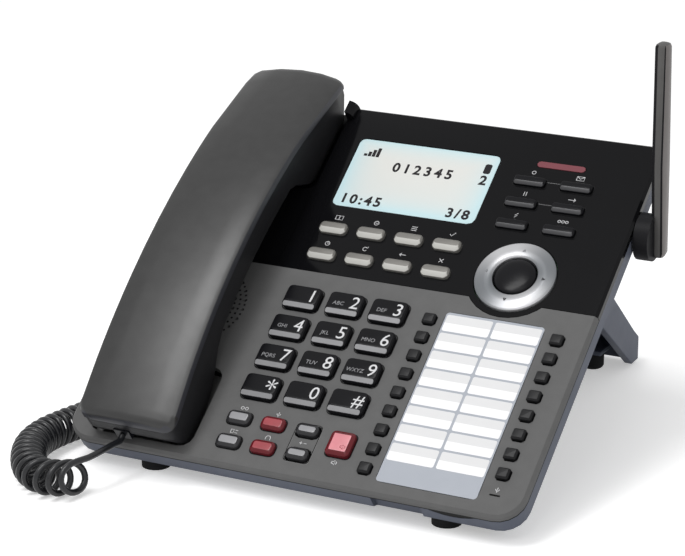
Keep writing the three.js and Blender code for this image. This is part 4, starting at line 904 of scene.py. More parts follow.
@dataclass
class Console:
    """The tray, the textured cover, the gloss fascia and the rear stand."""

    panel: Panel
    foot: float = 9.0 * MM
    seam_drop: float = 3.2 * MM
    dot_pitch: float = 2.5 * MM
    dot_radius: float = 0.55
    dot_height: float = 0.02
    dot_rings: int = 8
    dot_sides: int = 8
    first_ring: int = 6
    side_wall: float = 0.5

    def tray(self) -> None:
        """Dresses the tray and blackens its rubber feet."""
        piece = softened("base_shell", TRAY, SOFT_EDGE)
        add_slots(piece, FOOT_RUBBER)
        feet = front_feet()
        with Shaping(piece) as shaping:
            shaping.paint(
                1, lambda f: min((f.calc_center_median() - foot).length for foot in feet) < self.foot
            )

    def cover(self) -> None:
        """Dresses the cover and paints shade on its lowest band, along the gap above the tray."""
        piece = softened("top_cover", COVER, EDGE)
        add_slots(piece, GAP_SHADE)
        height = self.panel.surface - self.seam_drop
        normal = self.panel.normal
        with Shaping(piece) as shaping:
            shaping.cut(normal * height, normal)
            # Painted shade: the side walls below the cut are black, for the shadow in the gap above the tray
            shaping.paint(
                1,
                lambda f: f.calc_center_median().dot(normal) < height
                and abs(f.normal.dot(normal)) < self.side_wall,
            )

    def grille(self) -> None:
        """Lays fine black dots between the holes over the loudspeaker."""
        centre = self.panel.middle("loudspeaker", self.panel.surface)
        profile = [(self.dot_radius, 0.0), (self.dot_radius, self.dot_height)]
        pattern = lathed("grille_dot", profile, self.dot_sides)
        dots = []
        for ring in range(1, self.dot_rings + 1):
            count = self.first_ring * ring
            for index in range(count):
                if ring % 2 == 0 and index % 2 == 0:
                    continue
                turn = FULL_TURN * index / count
                shift = Vector((math.cos(turn), math.sin(turn), 0)) * ring * self.dot_pitch
                dots.append(self.panel.seat(copied(pattern, f"grille_dot_{ring}_{index}"), centre + shift))
        discard(pattern)
        settle(dots[0])
        for dot in dots:
            dot.select_set(True)
        bpy.ops.object.join()
        dots[0].name = "grille_dots"
        dress(dots[0], "base", GAP_SHADE)
        log.info("grille dots: %d", len(dots))

    def build(self) -> None:
        """Dresses the console's shells and what they hold."""
        self.tray()
        self.cover()
        self.grille()
        softened("fascia", FASCIA, ROUND_EDGE, 3)
        softened("stand", TRAY, ROUND_EDGE)
        for name in ("stand_foot_left", "stand_foot_right"):
            softened(name, FOOT_RUBBER, SOFT_EDGE)
        for name, finish in (("circuit_board", BOARD), ("loudspeaker", STEEL), ("hook_switch", SWITCH_BLACK)):
            softened(name, finish, FINE_EDGE, 1)
        softened("message_lamp", LAMP_RED, EDGE)
        log.info("console dressed")


class Paint(Enum):
    """Part of a key's cap that takes its second finish."""

    FRONT = "front"
    TOP = "top"

    def covers(self, face: bmesh.types.BMFace) -> bool:
        """Whether the second finish is on a face of the cap.

        Args:
            face: the face.

        Returns:
            True on the painted part.
        """
        normal = face.normal
        if self is Paint.TOP:
            return normal.z > TOP_RISE
        low, high = FRONT_RISE
        return low < normal.z < high and normal.y < -FRONT_LEAN and abs(normal.x) < FRONT_ASIDE


@dataclass(frozen=True)
class KeyForm:
    """Shape of a key's cap in metres: its corners, its slopes and how deep they fall."""

    corner: float
    shoulder: float
    front: float
    drop: float
    rounding: float = 0.25 * MM
    paint: Paint = Paint.FRONT

    def blank(self, size: Vector, finishes: tuple[Finish, Finish]) -> bpy.types.Object:
        """One cap about the middle of its top, with two material slots.

        Args:
            size: its width, depth and height.
            finishes: of the cap and of its painted part.

        Returns:
            The cap.
        """
        low = size.z - self.drop
        piece = cube("key_pattern", Vector((size.x, size.y, low)), Vector((0, 0, low / 2 - size.z)))
        add_slots(piece, *finishes)
        with Shaping(piece) as shaping:
            shaping.bevel(self.corner, CAP_CORNER_STEPS, upright)
            shaping.select("FACE", lambda f: f.normal.z > ALONG)
            bpy.ops.mesh.inset(thickness=self.shoulder)
            bpy.ops.transform.translate(value=(0, (self.front - self.shoulder) / 2, self.drop))
            room = size.y - 2 * self.shoulder
            bpy.ops.transform.resize(value=(1, (size.y - self.shoulder - self.front) / room, 1))
            for depth, play in ((0.0, self.rounding), (self.drop, self.rounding / 4)):
                shaping.bevel(
                    self.rounding,
                    CAP_EDGE_STEPS,
                    lambda e: all(abs(v.co.z + depth) < play for v in e.verts),
                )
            shaping.paint(1, self.paint.covers)
        smooth(piece, CAP_ANGLE)
        return piece


@dataclass
class KeyGroup:
    """Keys of one form that repeat over the panel."""

    panel: Panel
    names: list[str]
    form: KeyForm
    finishes: tuple[Finish, Finish]

    def size(self) -> Vector:
        """Size of a cap without the lip that holds it under the cover."""
        low, high = self.panel.box(self.names[0])
        return high - low - Vector((2 * KEY_LIP, 2 * KEY_LIP, 0.0))

    def build(self) -> None:
        """Places the keys, each in a ring of painted shade."""
        pattern = self.form.blank(self.size(), self.finishes)
        shade_rim = self.shade_rim(self.size())
        for name in self.names:
            key = self.panel.seat(copied(pattern, f"{name}_cap"), self.panel.middle(name))
            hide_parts(name)
            dress(key, name, *self.finishes)
            # Painted shade: a black ring round each key stands for the shadow in its gap
            place = self.panel.middle(name, self.panel.surface)
            dress(self.panel.seat(copied(shade_rim, f"{name}_well"), place), "base", GAP_SHADE)
        discard(pattern, shade_rim)
        log.info("%s keys: %d", self.finishes[0].name, len(self.names))

    def shade_rim(self, size: Vector) -> bpy.types.Object:
        """Ring of painted shade round a key, a hair off the panel.

        Args:
            size: the key's size.

        Returns:
            The rim about the origin.
        """
        outer = Vector((size.x + 2 * SHADE_RIM_WIDTH, size.y + 2 * SHADE_RIM_WIDTH, SHADE_RIM_HEIGHT))
        rim = plate("key_shade_rim", outer, self.form.corner + SHADE_RIM_WIDTH / 2)
        with Shaping(rim) as shaping:
            shaping.select("FACE", lambda f: abs(f.normal.z) > MOSTLY_ALONG)
            bpy.ops.mesh.inset(thickness=SHADE_RIM_WIDTH - SHADE_RIM_PLAY)
            bpy.ops.mesh.bridge_edge_loops()
        return rim


@dataclass
class KeyRow:
    """Caps of one form along a piece that moves as a whole."""

    panel: Panel
    node: str
    form: KeyForm
    finishes: tuple[Finish, Finish]
    grow: float = 0.5 * MM

    def build(self) -> None:
        """Places the caps and the web that joins them under the cover."""
        caps = self.panel.caps(self.node)
        low, high = self.panel.box(self.node)
        size = caps[0][1] - caps[0][0] + Vector((2 * self.grow, 2 * self.grow, 0.0))
        size.z = high.z - low.z - WEB_HEIGHT
        pattern = self.form.blank(size, self.finishes)
        for index, (near, far) in enumerate(caps):
            place = (near + far) / 2
            place.z = high.z
            key = self.panel.seat(copied(pattern, f"{self.node}_cap_{index + 1}"), place)
            dress(key, self.node, *self.finishes)
        discard(pattern)
        web = plate(f"{self.node}_web", Vector((high.x - low.x, high.y - low.y, WEB_HEIGHT)), MM)
        self.panel.seat(web, self.panel.middle(self.node, low.z + WEB_HEIGHT / 2))
        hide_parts(self.node)
        dress(web, self.node, SWITCH_BLACK)
        log.info("%s: %d caps", self.node, len(caps))


@dataclass
class DialFigures:
    """White figures and small letters on the dial keys, and the silver bars below them."""

    keys: KeyGroup
    depth: float = 0.12 * MM
    figure_place: tuple[float, float, float] = (4.9, 0.4, 0.0)
    letters_place: tuple[float, float, float] = (-2.7, -0.5, 0.0)
    star_growth: float = 1.4
    star_drop: float = 1.7
    figure_height: float = 6.5 * MM
    letter_height: float = 2.0 * MM
    letter_weight: float = -0.003
    slant: float = 0.06
    bar: float = 2.3 * MM
    bar_side: float = 0.9 * MM
    bar_thickness: float = 0.3 * MM
    bar_corner: float = 0.9 * MM

    def __post_init__(self) -> None:
        """Sets the three types."""
        self.large = Type(self.figure_height, self.depth, slant=self.slant)
        self.star = Type(self.figure_height * self.star_growth, self.depth, slant=self.slant)
        self.small = Type(self.letter_height, self.depth, self.letter_weight, self.slant)

    def build(self) -> None:
        """Prints every dial key and sets its silver bar."""
        self.bars()
        groups = ["", "ABC", "DEF", "GHI", "JKL", "MNO", "PQRS", "TUV", "WXYZ"]
        place = Vector(self.figure_place)
        for name, figure in zip(self.keys.names, "123456789*0#"):
            if figure == "*":
                self.print(name, figure, self.star, place - Vector((0, self.star_drop, 0)), PRINT_WHITE)
            else:
                self.print(name, figure, self.large, place, PRINT_WHITE)
        for name, group in zip(self.keys.names, groups):
            if group:
                self.print(name, group, self.small, Vector(self.letters_place), PRINT_SOFT)

    def print(self, name: str, text: str, type_size: Type, shift: Vector, finish: Finish) -> None:
        """Prints one mark.

        Args:
            name: the key's body.
            text: the figures or letters.
            type_size: their type.
            shift: their place in millimetres from the middle of the key's top.
            finish: their finish.
        """
        mark = type_size.write(f"{name}_{len(text)}_print", text)
        place = self.keys.panel.middle(name) + shift * MM + Vector((0, 0, self.depth / 4))
        dress(self.keys.panel.seat(mark, place), name, finish)

    def bars(self) -> None:
        """Sets a silver bar into the front slope of every key."""
        form, size = self.keys.form, self.keys.size()
        sides = Vector((size.x - 2 * self.bar_side, self.bar, self.bar_thickness))
        pattern = plate("dial_bar", sides, self.bar_corner)
        pattern.rotation_euler.x = math.atan2(form.drop, form.front)
        fixed(pattern, "dial_bar")
        shift = Vector((0.0, form.front / 2 - size.y / 2, -form.drop / 2))
        for name in self.keys.names:
            bar = self.keys.panel.seat(copied(pattern, f"{name}_bar"), self.keys.panel.middle(name) + shift)
            smooth(bar)
            dress(bar, name, EDGE_SILVER)
        discard(pattern)


def arc(centre: tuple[float, float], radius: float, start: float = 0.0, end: float = 360.0) -> Line:
    """Points of an arc.

    Args:
        centre: its middle.
        radius: its radius.
        start: where it starts, in degrees.
        end: where it ends.

    Returns:
        Its points.
    """
    count = 12
    angles = [math.radians(start + (end - start) * index / count) for index in range(count + 1)]
    return [(centre[0] + radius * math.cos(turn), centre[1] + radius * math.sin(turn)) for turn in angles]


def box(left: float, low: float, right: float, high: float) -> Line:
    """Closed outline of a rectangle."""
    return [(left, low), (right, low), (right, high), (left, high), (left, low)]


class Sign(Enum):
    """Plain signs beside the keys, drawn as strokes in a height of 1."""

    BOOK = (box(-0.8, -0.5, 0.8, 0.5), [(0, -0.5), (0, 0.5)])
    BARRED = (arc((0, 0), 0.5), [(-0.25, 0), (0.25, 0)])
    LIST = ([(-0.6, 0.45), (0.6, 0.45)], [(-0.6, 0), (0.6, 0)], [(-0.6, -0.45), (0.6, -0.45)])
    TICK = ([(-0.5, 0), (-0.1, -0.45), (0.6, 0.5)],)
    CLOCK = (arc((0, 0), 0.5), [(0, 0.3), (0, 0), (0.25, 0)])
    REPEAT = (arc((0, 0), 0.45, 40, 330), [(0.1, 0.5), (0.45, 0.3), (0.6, 0.65)])
    BACK = ([(0.7, 0), (-0.7, 0)], [(-0.3, 0.4), (-0.7, 0), (-0.3, -0.4)])
    CROSS = ([(-0.45, -0.45), (0.45, 0.45)], [(-0.45, 0.45), (0.45, -0.45)])
    DISC = (arc((0, 0), 0.4),)
    LETTER = (box(-0.8, -0.5, 0.8, 0.5), [(-0.8, 0.5), (0, -0.1), (0.8, 0.5)])
    PAUSE = ([(-0.25, -0.5), (-0.25, 0.5)], [(0.25, -0.5), (0.25, 0.5)])
    ONWARD = ([(-0.8, 0), (0.8, 0)], [(0.4, 0.4), (0.8, 0), (0.4, -0.4)])
    BOLT = ([(0.3, 0.55), (-0.3, 0), (0.25, 0), (-0.3, -0.55)],)
    TRIO = (arc((-0.8, 0), 0.3), arc((0, 0), 0.3), arc((0.8, 0), 0.3))
    PAIR = (arc((-0.45, 0), 0.32), arc((0.45, 0), 0.32))
    SQUARES = (box(-0.7, -0.4, -0.1, 0.4), [(0.2, 0.3), (0.8, 0.3)], [(0.2, -0.3), (0.8, -0.3)])
    MICROPHONE = ([(0, -0.6), (0, -0.2)], arc((0, 0.15), 0.38, 180, 360), [(0, 0), (0, 0.5)])
    EARS = (arc((0, -0.05), 0.5, 0, 180), [(-0.5, -0.05), (-0.5, -0.5)], [(0.5, -0.05), (0.5, -0.5)])
    PLUS_MINUS = ([(-0.75, 0), (-0.15, 0)], [(-0.45, -0.3), (-0.45, 0.3)], [(0.2, 0), (0.75, 0)])
    HORN = (
        [(-0.5, -0.2), (-0.5, 0.2), (-0.2, 0.2), (0.15, 0.5), (0.15, -0.5), (-0.2, -0.2), (-0.5, -0.2)],
        arc((0.15, 0), 0.4, -50, 50),
    )


@dataclass
class Pen:
    """Thin raised lines in one finish."""

    panel: Panel
    finish: Finish = PRINT_WHITE
    width: float = 0.42 * MM

    def draw(self, name: str, body: str, strokes: Iterable[Line], centre: Vector, unit: float = MM) -> None:
        """Draws lines about a place of the panel.

        Args:
            name: the piece's name.
            body: the body that it rides on.
            strokes: each line's points.
            centre: the place in the panel's frame.
            unit: the points' unit in metres.
        """
        lines = [[(x * unit, y * unit, 0.0) for x, y in stroke] for stroke in strokes]
        piece = meshed(wire(name, lines, self.width / 2))
        dress(self.panel.seat(piece, centre), body, self.finish)


@dataclass
class Signs:
    """Signs beside the keys, where the panel is printed."""

    panel: Panel
    height: float = 2.2 * MM
    menu_rise: float = 6.8
    call_rise: float = 5.7
    key_rise: float = 5.6
    speaker_drop: float = 8.7
    microphone_drop: float = 42.0
    on_key_shift: float = 2.0
    outline_margin: float = 1.3
    outline_corner: float = 2.0
    outline_shift: tuple[float, float, float] = (0.25, -0.25, -0.05)
    rib_width: float = 1.6 * MM
    rib_rise: float = 1.2 * MM
    rib_sink: float = 0.55 * MM
    fine_line: float = 0.3 * MM
    outline_width: float = 0.4 * MM

    def build(self) -> None:
        """Prints all the signs."""
        menu = [Sign.BOOK, Sign.BARRED, Sign.LIST, Sign.TICK, Sign.CLOCK, Sign.REPEAT, Sign.BACK, Sign.CROSS]
        call = [Sign.DISC, Sign.LETTER, Sign.PAUSE, Sign.ONWARD, Sign.BOLT, Sign.TRIO]
        self.above(named("menu_key", 8), menu, self.menu_rise)
        self.above(named("call_key", 6), call, self.call_rise)
        self.above(["intercom_key", "mute_key"], [Sign.PAIR, Sign.MICROPHONE], self.key_rise)
        self.above(["intercom_all_key", "headset_key"], [Sign.SQUARES, Sign.EARS], self.key_rise)
        self.above(["volume_rocker"], [Sign.PLUS_MINUS], 0.0)
        self.above(["speaker_key"], [Sign.HORN], -self.speaker_drop)
        self.above(["line_keys_right"], [Sign.MICROPHONE], -self.microphone_drop)
        place = self.panel.middle("speaker_key") + Vector((self.on_key_shift, -self.on_key_shift, 0)) * MM
        pen = Pen(self.panel, KEY_RED, self.fine_line)
        pen.draw("speaker_key_mark", "speaker_key", Sign.HORN.value, place, self.height)
        self.volume_outline()
        self.call_ribs()
        log.info("signs printed")

    def volume_outline(self) -> None:
        """Draws the moulded outline round the two volume keys: painted shade in its groove and a painted
        highlight along one edge.
        """
        caps = self.panel.caps("volume_rocker")
        low, high = caps[0][0], caps[-1][1]
        middle = (low + high) / 2
        middle.z = self.panel.surface
        inside = self.outline_margin - self.outline_corner
        x, y = ((high - low).xy / 2 / MM) + Vector((inside, inside))
        ring = []
        for quarter, centre in enumerate([(x, y), (-x, y), (-x, -y), (x, -y)]):
            ring += arc(centre, self.outline_corner, 90 * quarter, 90 * quarter + 90)
        ring.append(ring[0])
        # Painted highlight: a lighter line set beside the groove; painted shade: the groove as a black line
        light = Pen(self.panel, GROOVE_HIGHLIGHT, self.fine_line)
        light.draw("volume_outline_highlight", "base", [ring], middle + Vector(self.outline_shift) * MM)
        dark = Pen(self.panel, GAP_SHADE, self.outline_width)
        dark.draw("volume_outline", "base", [ring], middle)

    def call_ribs(self) -> None:
        """Draws the ribs that join the call keys of a row."""
        pen = Pen(self.panel, RIB_BLACK, self.rib_width)
        for row in (1, 3):
            left, right = self.panel.box(f"call_key_{row}"), self.panel.box(f"call_key_{row + 1}")
            line = [((left[1].x - KEY_LIP) / MM, 0.0), ((right[0].x + KEY_LIP) / MM, 0.0)]
            up = (left[0].y + left[1].y) / 2 + self.rib_rise
            place = Vector((0.0, up, self.panel.surface - self.rib_sink))
            pen.draw(f"call_rib_{row}", "base", [line], place)

    def above(self, names: list[str], signs: list[Sign], rise: float) -> None:
        """Prints signs at a distance up the slope from their keys.

        Args:
            names: the keys.
            signs: one for each key.
            rise: the distance in millimetres.
        """
        for name, sign in zip(names, signs):
            place = self.panel.middle(name, self.panel.surface) + Vector((0, rise * MM, 0))
            Pen(self.panel).draw(f"{name}_sign", "base", sign.value, place, self.height)


@dataclass
class LabelCard:
    """Two columns of eight paper windows in a grey frame, built in place of the card and its hidden clear
    cover.
    """

    panel: Panel
    columns: int = 2
    rows: int = 8
    side: float = 0.7 * MM
    divider: float = 1.2 * MM
    row_gap: float = 1.05 * MM
    strip: float = 10.4 * MM
    lift: float = 0.16 * MM
    sheet_corner: float = 1.6 * MM
    window_corner: float = 0.9 * MM

    def build(self) -> None:
        """Builds the card."""
        low, high = self.panel.box("label_card")
        high.z = self.panel.box("label_cover")[1].z
        sheet = plate("card_sheet", high - low, self.sheet_corner)
        self.panel.seat(sheet, (low + high) / 2)
        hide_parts("label_card", "label_cover")
        dress(sheet, "base", CARD)
        width = (high.x - low.x - 2 * self.side - self.divider) / self.columns
        pitch = (high.y - low.y - self.strip - self.side) / self.rows
        pattern = self.window(width, pitch - self.row_gap)
        for column in range(self.columns):
            for row in range(self.rows):
                x = low.x + self.side + width / 2 + column * (width + self.divider)
                y = high.y - self.side - pitch * (row + 0.5)
                window = copied(pattern, f"card_window_{column + 1}_{row + 1}")
                self.panel.seat(window, Vector((x, y, high.z)))
                dress(window, "base", CARD_WHITE, CARD_SHADE)
        discard(pattern)
        log.info("card windows: %d", self.columns * self.rows)

    def window(self, width: float, depth: float) -> bpy.types.Object:
        """One white window, its upper half shaded.

        Args:
            width: its width.
            depth: its depth.

        Returns:
            The window about the origin.
        """
        piece = plate("card_window_pattern", Vector((width, depth, self.lift)), self.window_corner)
        add_slots(piece, CARD_WHITE, CARD_SHADE)
        with Shaping(piece) as shaping:
            shaping.cut(Vector(), Vector((0, 1, 0)))
            shaping.paint(1, lambda f: f.calc_center_median().y > 0)
        return piece


@dataclass
class Display:
    """Pale panel with plain dark figures under the hidden glass, placed in millimetres."""

    panel: Panel
    glass: float = 0.3 * MM
    sheet: float = 0.4 * MM
    lip: float = 1.4 * MM
    corner: float = 2.6 * MM
    depth: float = 0.06 * MM
    bars: int = 4
    bar_width: float = 1.6 * MM
    bar_pitch: float = 2.0
    first_bar: float = 1.4
    bar_growth: float = 1.3
    bars_inset: tuple[float, float] = (5.3, 9.6)
    cell_size: tuple[float, float] = (3.4, 5.6)
    cell_inset: tuple[float, float] = (4.2, 7.9)
    type_height: float = 5.2 * MM
    type_weight: float = 0.045

    def build(self) -> None:
        """Builds the display."""
        low, high = self.panel.box("lcd_window")
        size = Vector((high.x - low.x - 2 * self.lip, high.y - low.y - 2 * self.lip, 0))
        centre = self.panel.middle("lcd_window")
        sheet = plate("display_sheet", size + Vector((0, 0, self.sheet)), self.corner)
        self.panel.seat(sheet, centre - Vector((0, 0, self.glass + self.sheet / 2)))
        light = RimLight(
            "display_light",
            (221, 220, 215),
            0.35,
            "display_window",
            second=(196, 224, 229),
            half_width=size.x / 2,
            half_depth=size.y / 2,
            **self.panel.pattern(centre),
        )
        dress(sheet, "base", light)
        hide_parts("lcd_window")
        self.marks(centre - Vector((0, 0, self.glass)), size)
        log.info("display built")

    def marks(self, centre: Vector, size: Vector) -> None:
        """Prints the bars, the cell and the figures.

        Args:
            centre: the middle of the sheet's top.
            size: the sheet's width and depth.
        """
        right, top = size.x / 2 / MM, size.y / 2 / MM
        inset, drop = self.bars_inset
        for index in range(self.bars):
            height = self.first_bar + self.bar_growth * index
            sides = Vector((self.bar_width, height * MM, self.depth))
            bar = cube(f"display_bar_{index + 1}", sides, Vector())
            self.print(bar, centre, inset + self.bar_pitch * index - right, top - drop + height / 2)
        inset, drop = self.cell_inset
        cell = plate("display_cell", Vector((*(side * MM for side in self.cell_size), self.depth)), MM)
        self.print(cell, centre, right - inset, top - drop)
        rows = [
            ("10:45", -22.0, -15.3, 1.3),
            ("3/8", 26.0, -15.3, 1.3),
            ("012345", 0.9, 5.6, 1.45),
            ("2", 31.0, 5.0, 1.0),
        ]
        for index, (text, x, y, spacing) in enumerate(rows):
            figures = Type(self.type_height, self.depth, self.type_weight, spacing=spacing)
            self.print(figures.write(f"display_text_{index + 1}", text), centre, x, y)

    def print(self, mark: bpy.types.Object, centre: Vector, x: float, y: float) -> None:
        """Sets a dark mark at a place across and up from the sheet's centre."""
        dress(self.panel.seat(mark, centre + Vector((x, y, 0)) * MM), "base", DISPLAY_INK)


@dataclass
class NavigationPad:
    """Silver ring with four arrows about a domed black key."""

    panel: Panel
    arrow_place: float = 13.4
    arrow_rise: float = 1.87
    arrow_tip: float = 0.6
    arrow_back: float = 0.5
    arrow_half: float = 0.55
    arrow_line: float = 0.5 * MM
    sharp: float = 35.0

    def build(self) -> None:
        """Builds the ring, its arrows and its centre key."""
        softened("nav_gimbal", SWITCH_BLACK, FINE_EDGE, 1)
        centre = self.panel.middle("nav_ring", self.panel.surface)
        self.ring(centre)
        self.arrows(centre)
        self.key(centre)
        log.info("navigation pad built")

    def ring(self, centre: Vector) -> None:
        """Builds the ring.

        Args:
            centre: its middle on the panel.
        """
        profile = [(18.35, -3.0), (18.35, 0.3), (18.2, 0.7), (17.6, 1.0), (17.2, 1.1), (14.3, 1.75),
                   (13.4, 1.85), (11.4, 1.75), (10.6, 1.5), (10.2, 1.1), (10.2, -3.0), (18.35, -3.0)]
        # Painted highlight: the ring's sheen is painted into its base colour about its middle
        silver = SheenPaintedRing(
            "ring_silver",
            (100, 104, 108),
            0.3,
            "key_silver",
            metallic=0.3,
            level=0.2,
            second=(190, 190, 192),
            **self.panel.pattern(centre),
        )
        ring = self.panel.seat(lathed("nav_ring_disc", profile, 96, self.sharp), centre)
        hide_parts("nav_ring")
        dress(ring, "nav_ring", silver)

    def arrows(self, centre: Vector) -> None:
        """Sets the four small arrows.

        Args:
            centre: the ring's middle on the panel.
        """
        for index in range(4):
            turn = Matrix.Rotation(FULL_TURN / 4 * index, 3, "Z")
            outward, aside = turn.col[0], turn.col[1] * self.arrow_half
            tip, back = outward * self.arrow_tip, outward * self.arrow_back
            points = [tip, aside - back, -aside - back, tip]
            place = centre + (outward * self.arrow_place + Vector((0, 0, self.arrow_rise))) * MM
            pen = Pen(self.panel, DISPLAY_INK if index in (0, 3) else PRINT_GREY, self.arrow_line)
            pen.draw(f"nav_arrow_{index + 1}", "nav_ring", [[(p.x, p.y) for p in points]], place)

    def key(self, centre: Vector) -> None:
        """Builds the domed centre key.

        Args:
            centre: its middle on the panel.
        """
        profile = [(9.6, -3.6), (9.6, 0.4), (9.3, 0.9), (8.6, 1.3), (6.5, 1.8), (3.5, 2.1), (0.4, 2.2)]
        key = self.panel.seat(lathed("nav_center_disc", profile, 72, self.sharp), centre)
        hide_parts("nav_center_key")
        dress(key, "nav_center_key", KEY_BLACK)


@dataclass
class Antenna:
    """The folding blade with painted shade on its hub, inner bevel and groove, and a painted highlight
    outside.

    The last three values bound the parts of a face's normal.
    """

    blade: float = 6.0 * MM
    groove: float = 0.5 * MM
    hub_step: float = 0.1 * MM
    outward: float = 0.6
    slanted: float = 0.3
    level: float = 0.2

    def build(self) -> None:
        """Dresses the antenna."""
        piece = softened("antenna", ANTENNA_GREY, SOFT_EDGE, 3)
        add_slots(piece, ANTENNA_HIGHLIGHT, ANTENNA_SHADE)
        inner = max(vertex.co.x for vertex in piece.data.vertices) - self.blade
        hub_face = inner + self.blade / 2
        with Shaping(piece) as shaping:
            start, across = self.groove_line(shaping)
            shaping.cut(start, across)
            # Painted highlight on the outer face
            shaping.paint(1, lambda f: f.normal.x > self.outward)
            # Painted shade in the groove beside the front bevel
            shaping.paint(
                2, lambda f: self.in_bevel(f.normal) and (f.calc_center_median() - start).dot(across) > 0
            )
            # Painted shade on the inner front bevel, then on the hub's sides and its outer face
            shaping.paint(2, lambda f: f.normal.x < -self.slanted and f.normal.y < -self.slanted)
            shaping.paint(2, lambda f: f.calc_center_median().x < inner - self.hub_step)
            shaping.paint(2, lambda f: f.normal.x > MOSTLY_ALONG and f.calc_center_median().x < hub_face)
        log.info("antenna dressed")

    def in_bevel(self, normal: Vector) -> bool:
        """Whether a face lies in the bevel of the blade's outer front edge."""
        return self.slanted < normal.x < self.outward and normal.y < -self.outward

    def groove_line(self, shaping: Shaping) -> tuple[Vector, Vector]:
        """Where the groove runs along the blade, beside its front bevel.

        Args:
            shaping: the blade in edit mode.

        Returns:
            The groove's lower end and the direction across it, outwards.
        """
        line = shaping.where(lambda f: self.in_bevel(f.normal) and abs(f.normal.z) < self.level)
        ends = [choose(line, key=lambda point: point.z) for choose in (min, max)]
        rows = [[point for point in line if abs(point.z - end.z) < MM] for end in ends]
        low, high = (max(row, key=lambda point: point.x) for row in rows)
        across = (high - low).cross(Vector((0, -1, 0))).normalized()
        across *= math.copysign(1, across.x)
        return low - Vector((self.groove, 0, 0)), across


@dataclass
class Handset:
    """The satin back, the dark inner shell and the cord's plugs."""

    panel: Panel
    loft_angle: float = 40.0
    end_normal: float = 0.8

    def shell(self, node: str, finish: Finish) -> bpy.types.Object:
        """Stand-in for a lofted shell with its facets smoothed.

        Args:
            node: the node's name.
            finish: its finish.

        Returns:
            The piece.
        """
        piece = merged_copy(node)
        smooth(piece, self.loft_angle)
        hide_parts(node)
        return dress(piece, "handset", finish)

    def build(self) -> None:
        """Dresses the handset."""
        back = self.shell("handset_back", SATIN)
        add_slots(back, SATIN_SHADE)
        slope = self.panel.axes.col[1]
        with Shaping(back) as shaping:
            # Painted shade: the satin back's end and its sides take a darker satin
            shaping.paint(
                1, lambda f: f.normal.dot(slope) < -self.end_normal or abs(f.normal.x) > MOSTLY_ALONG
            )
        self.shell("handset_front", HANDSET_DARK)
        for name in ("handset_receiver", "handset_microphone"):
            softened(name, STEEL, EDGE, 1)
        for name in ("handset_plug", "base_plug"):
            softened(name, PLUG_CLEAR, EDGE, 1)
        log.info("handset dressed")


def smooth_route(points: list[Vector], steps: int) -> list[Vector]:
    """Smooth line through points, its speed held even between uneven ones.

    Args:
        points: what it passes through.
        steps: stretches between two points.

    Returns:
        The line's points.
    """
    line = [points[0] * 2 - points[1], *points, points[-1] * 2 - points[-2]]
    route = []
    for p0, p1, p2, p3 in zip(line, line[1:], line[2:], line[3:]):
        k1 = (p1 - p0).length ** 0.5
        k2 = k1 + (p2 - p1).length ** 0.5
        k3 = k2 + (p3 - p2).length ** 0.5
        for step in range(steps):
            t = k1 + (k2 - k1) * step / steps
            a1 = p0.lerp(p1, t / k1)
            a2 = p1.lerp(p2, (t - k1) / (k2 - k1))
            a3 = p2.lerp(p3, (t - k2) / (k3 - k2))
            b1 = a1.lerp(a2, t / k2)
            b2 = a2.lerp(a3, (t - k1) / (k3 - k1))
            route.append(b1.lerp(b2, (t - k1) / (k2 - k1)))
    return [*route, points[-1]]


def length_of(points: list[Vector]) -> float:
    """Length of a line through points."""
    return sum((after - before).length for before, after in zip(points, points[1:]))


class CurlAxis:
    """Line on the desk that the curls follow."""

    def __init__(self, route: list[Vector]) -> None:
        """Smooths and measures the line.

        Args:
            route: what it passes through.
        """
        self.points = smooth_route(route, ROUTE_STEPS)
        self.reached = [0.0]
        for before, after in zip(self.points, self.points[1:]):
            self.reached.append(self.reached[-1] + (after - before).length)

    def at(self, distance: float) -> tuple[Vector, Vector]:
        """Point and heading at a distance along the line.

        Args:
            distance: how far, in metres.

        Returns:
            The point and the heading.
        """
        distance = min(max(distance, 0.0), self.reached[-1])
        index = next((i for i, far in enumerate(self.reached[1:]) if far >= distance), len(self.points) - 2)
        before, after = self.points[index], self.points[index + 1]
        share = (distance - self.reached[index]) / (self.reached[index + 1] - self.reached[index])
        return before.lerp(after, share), (after - before).normalized()


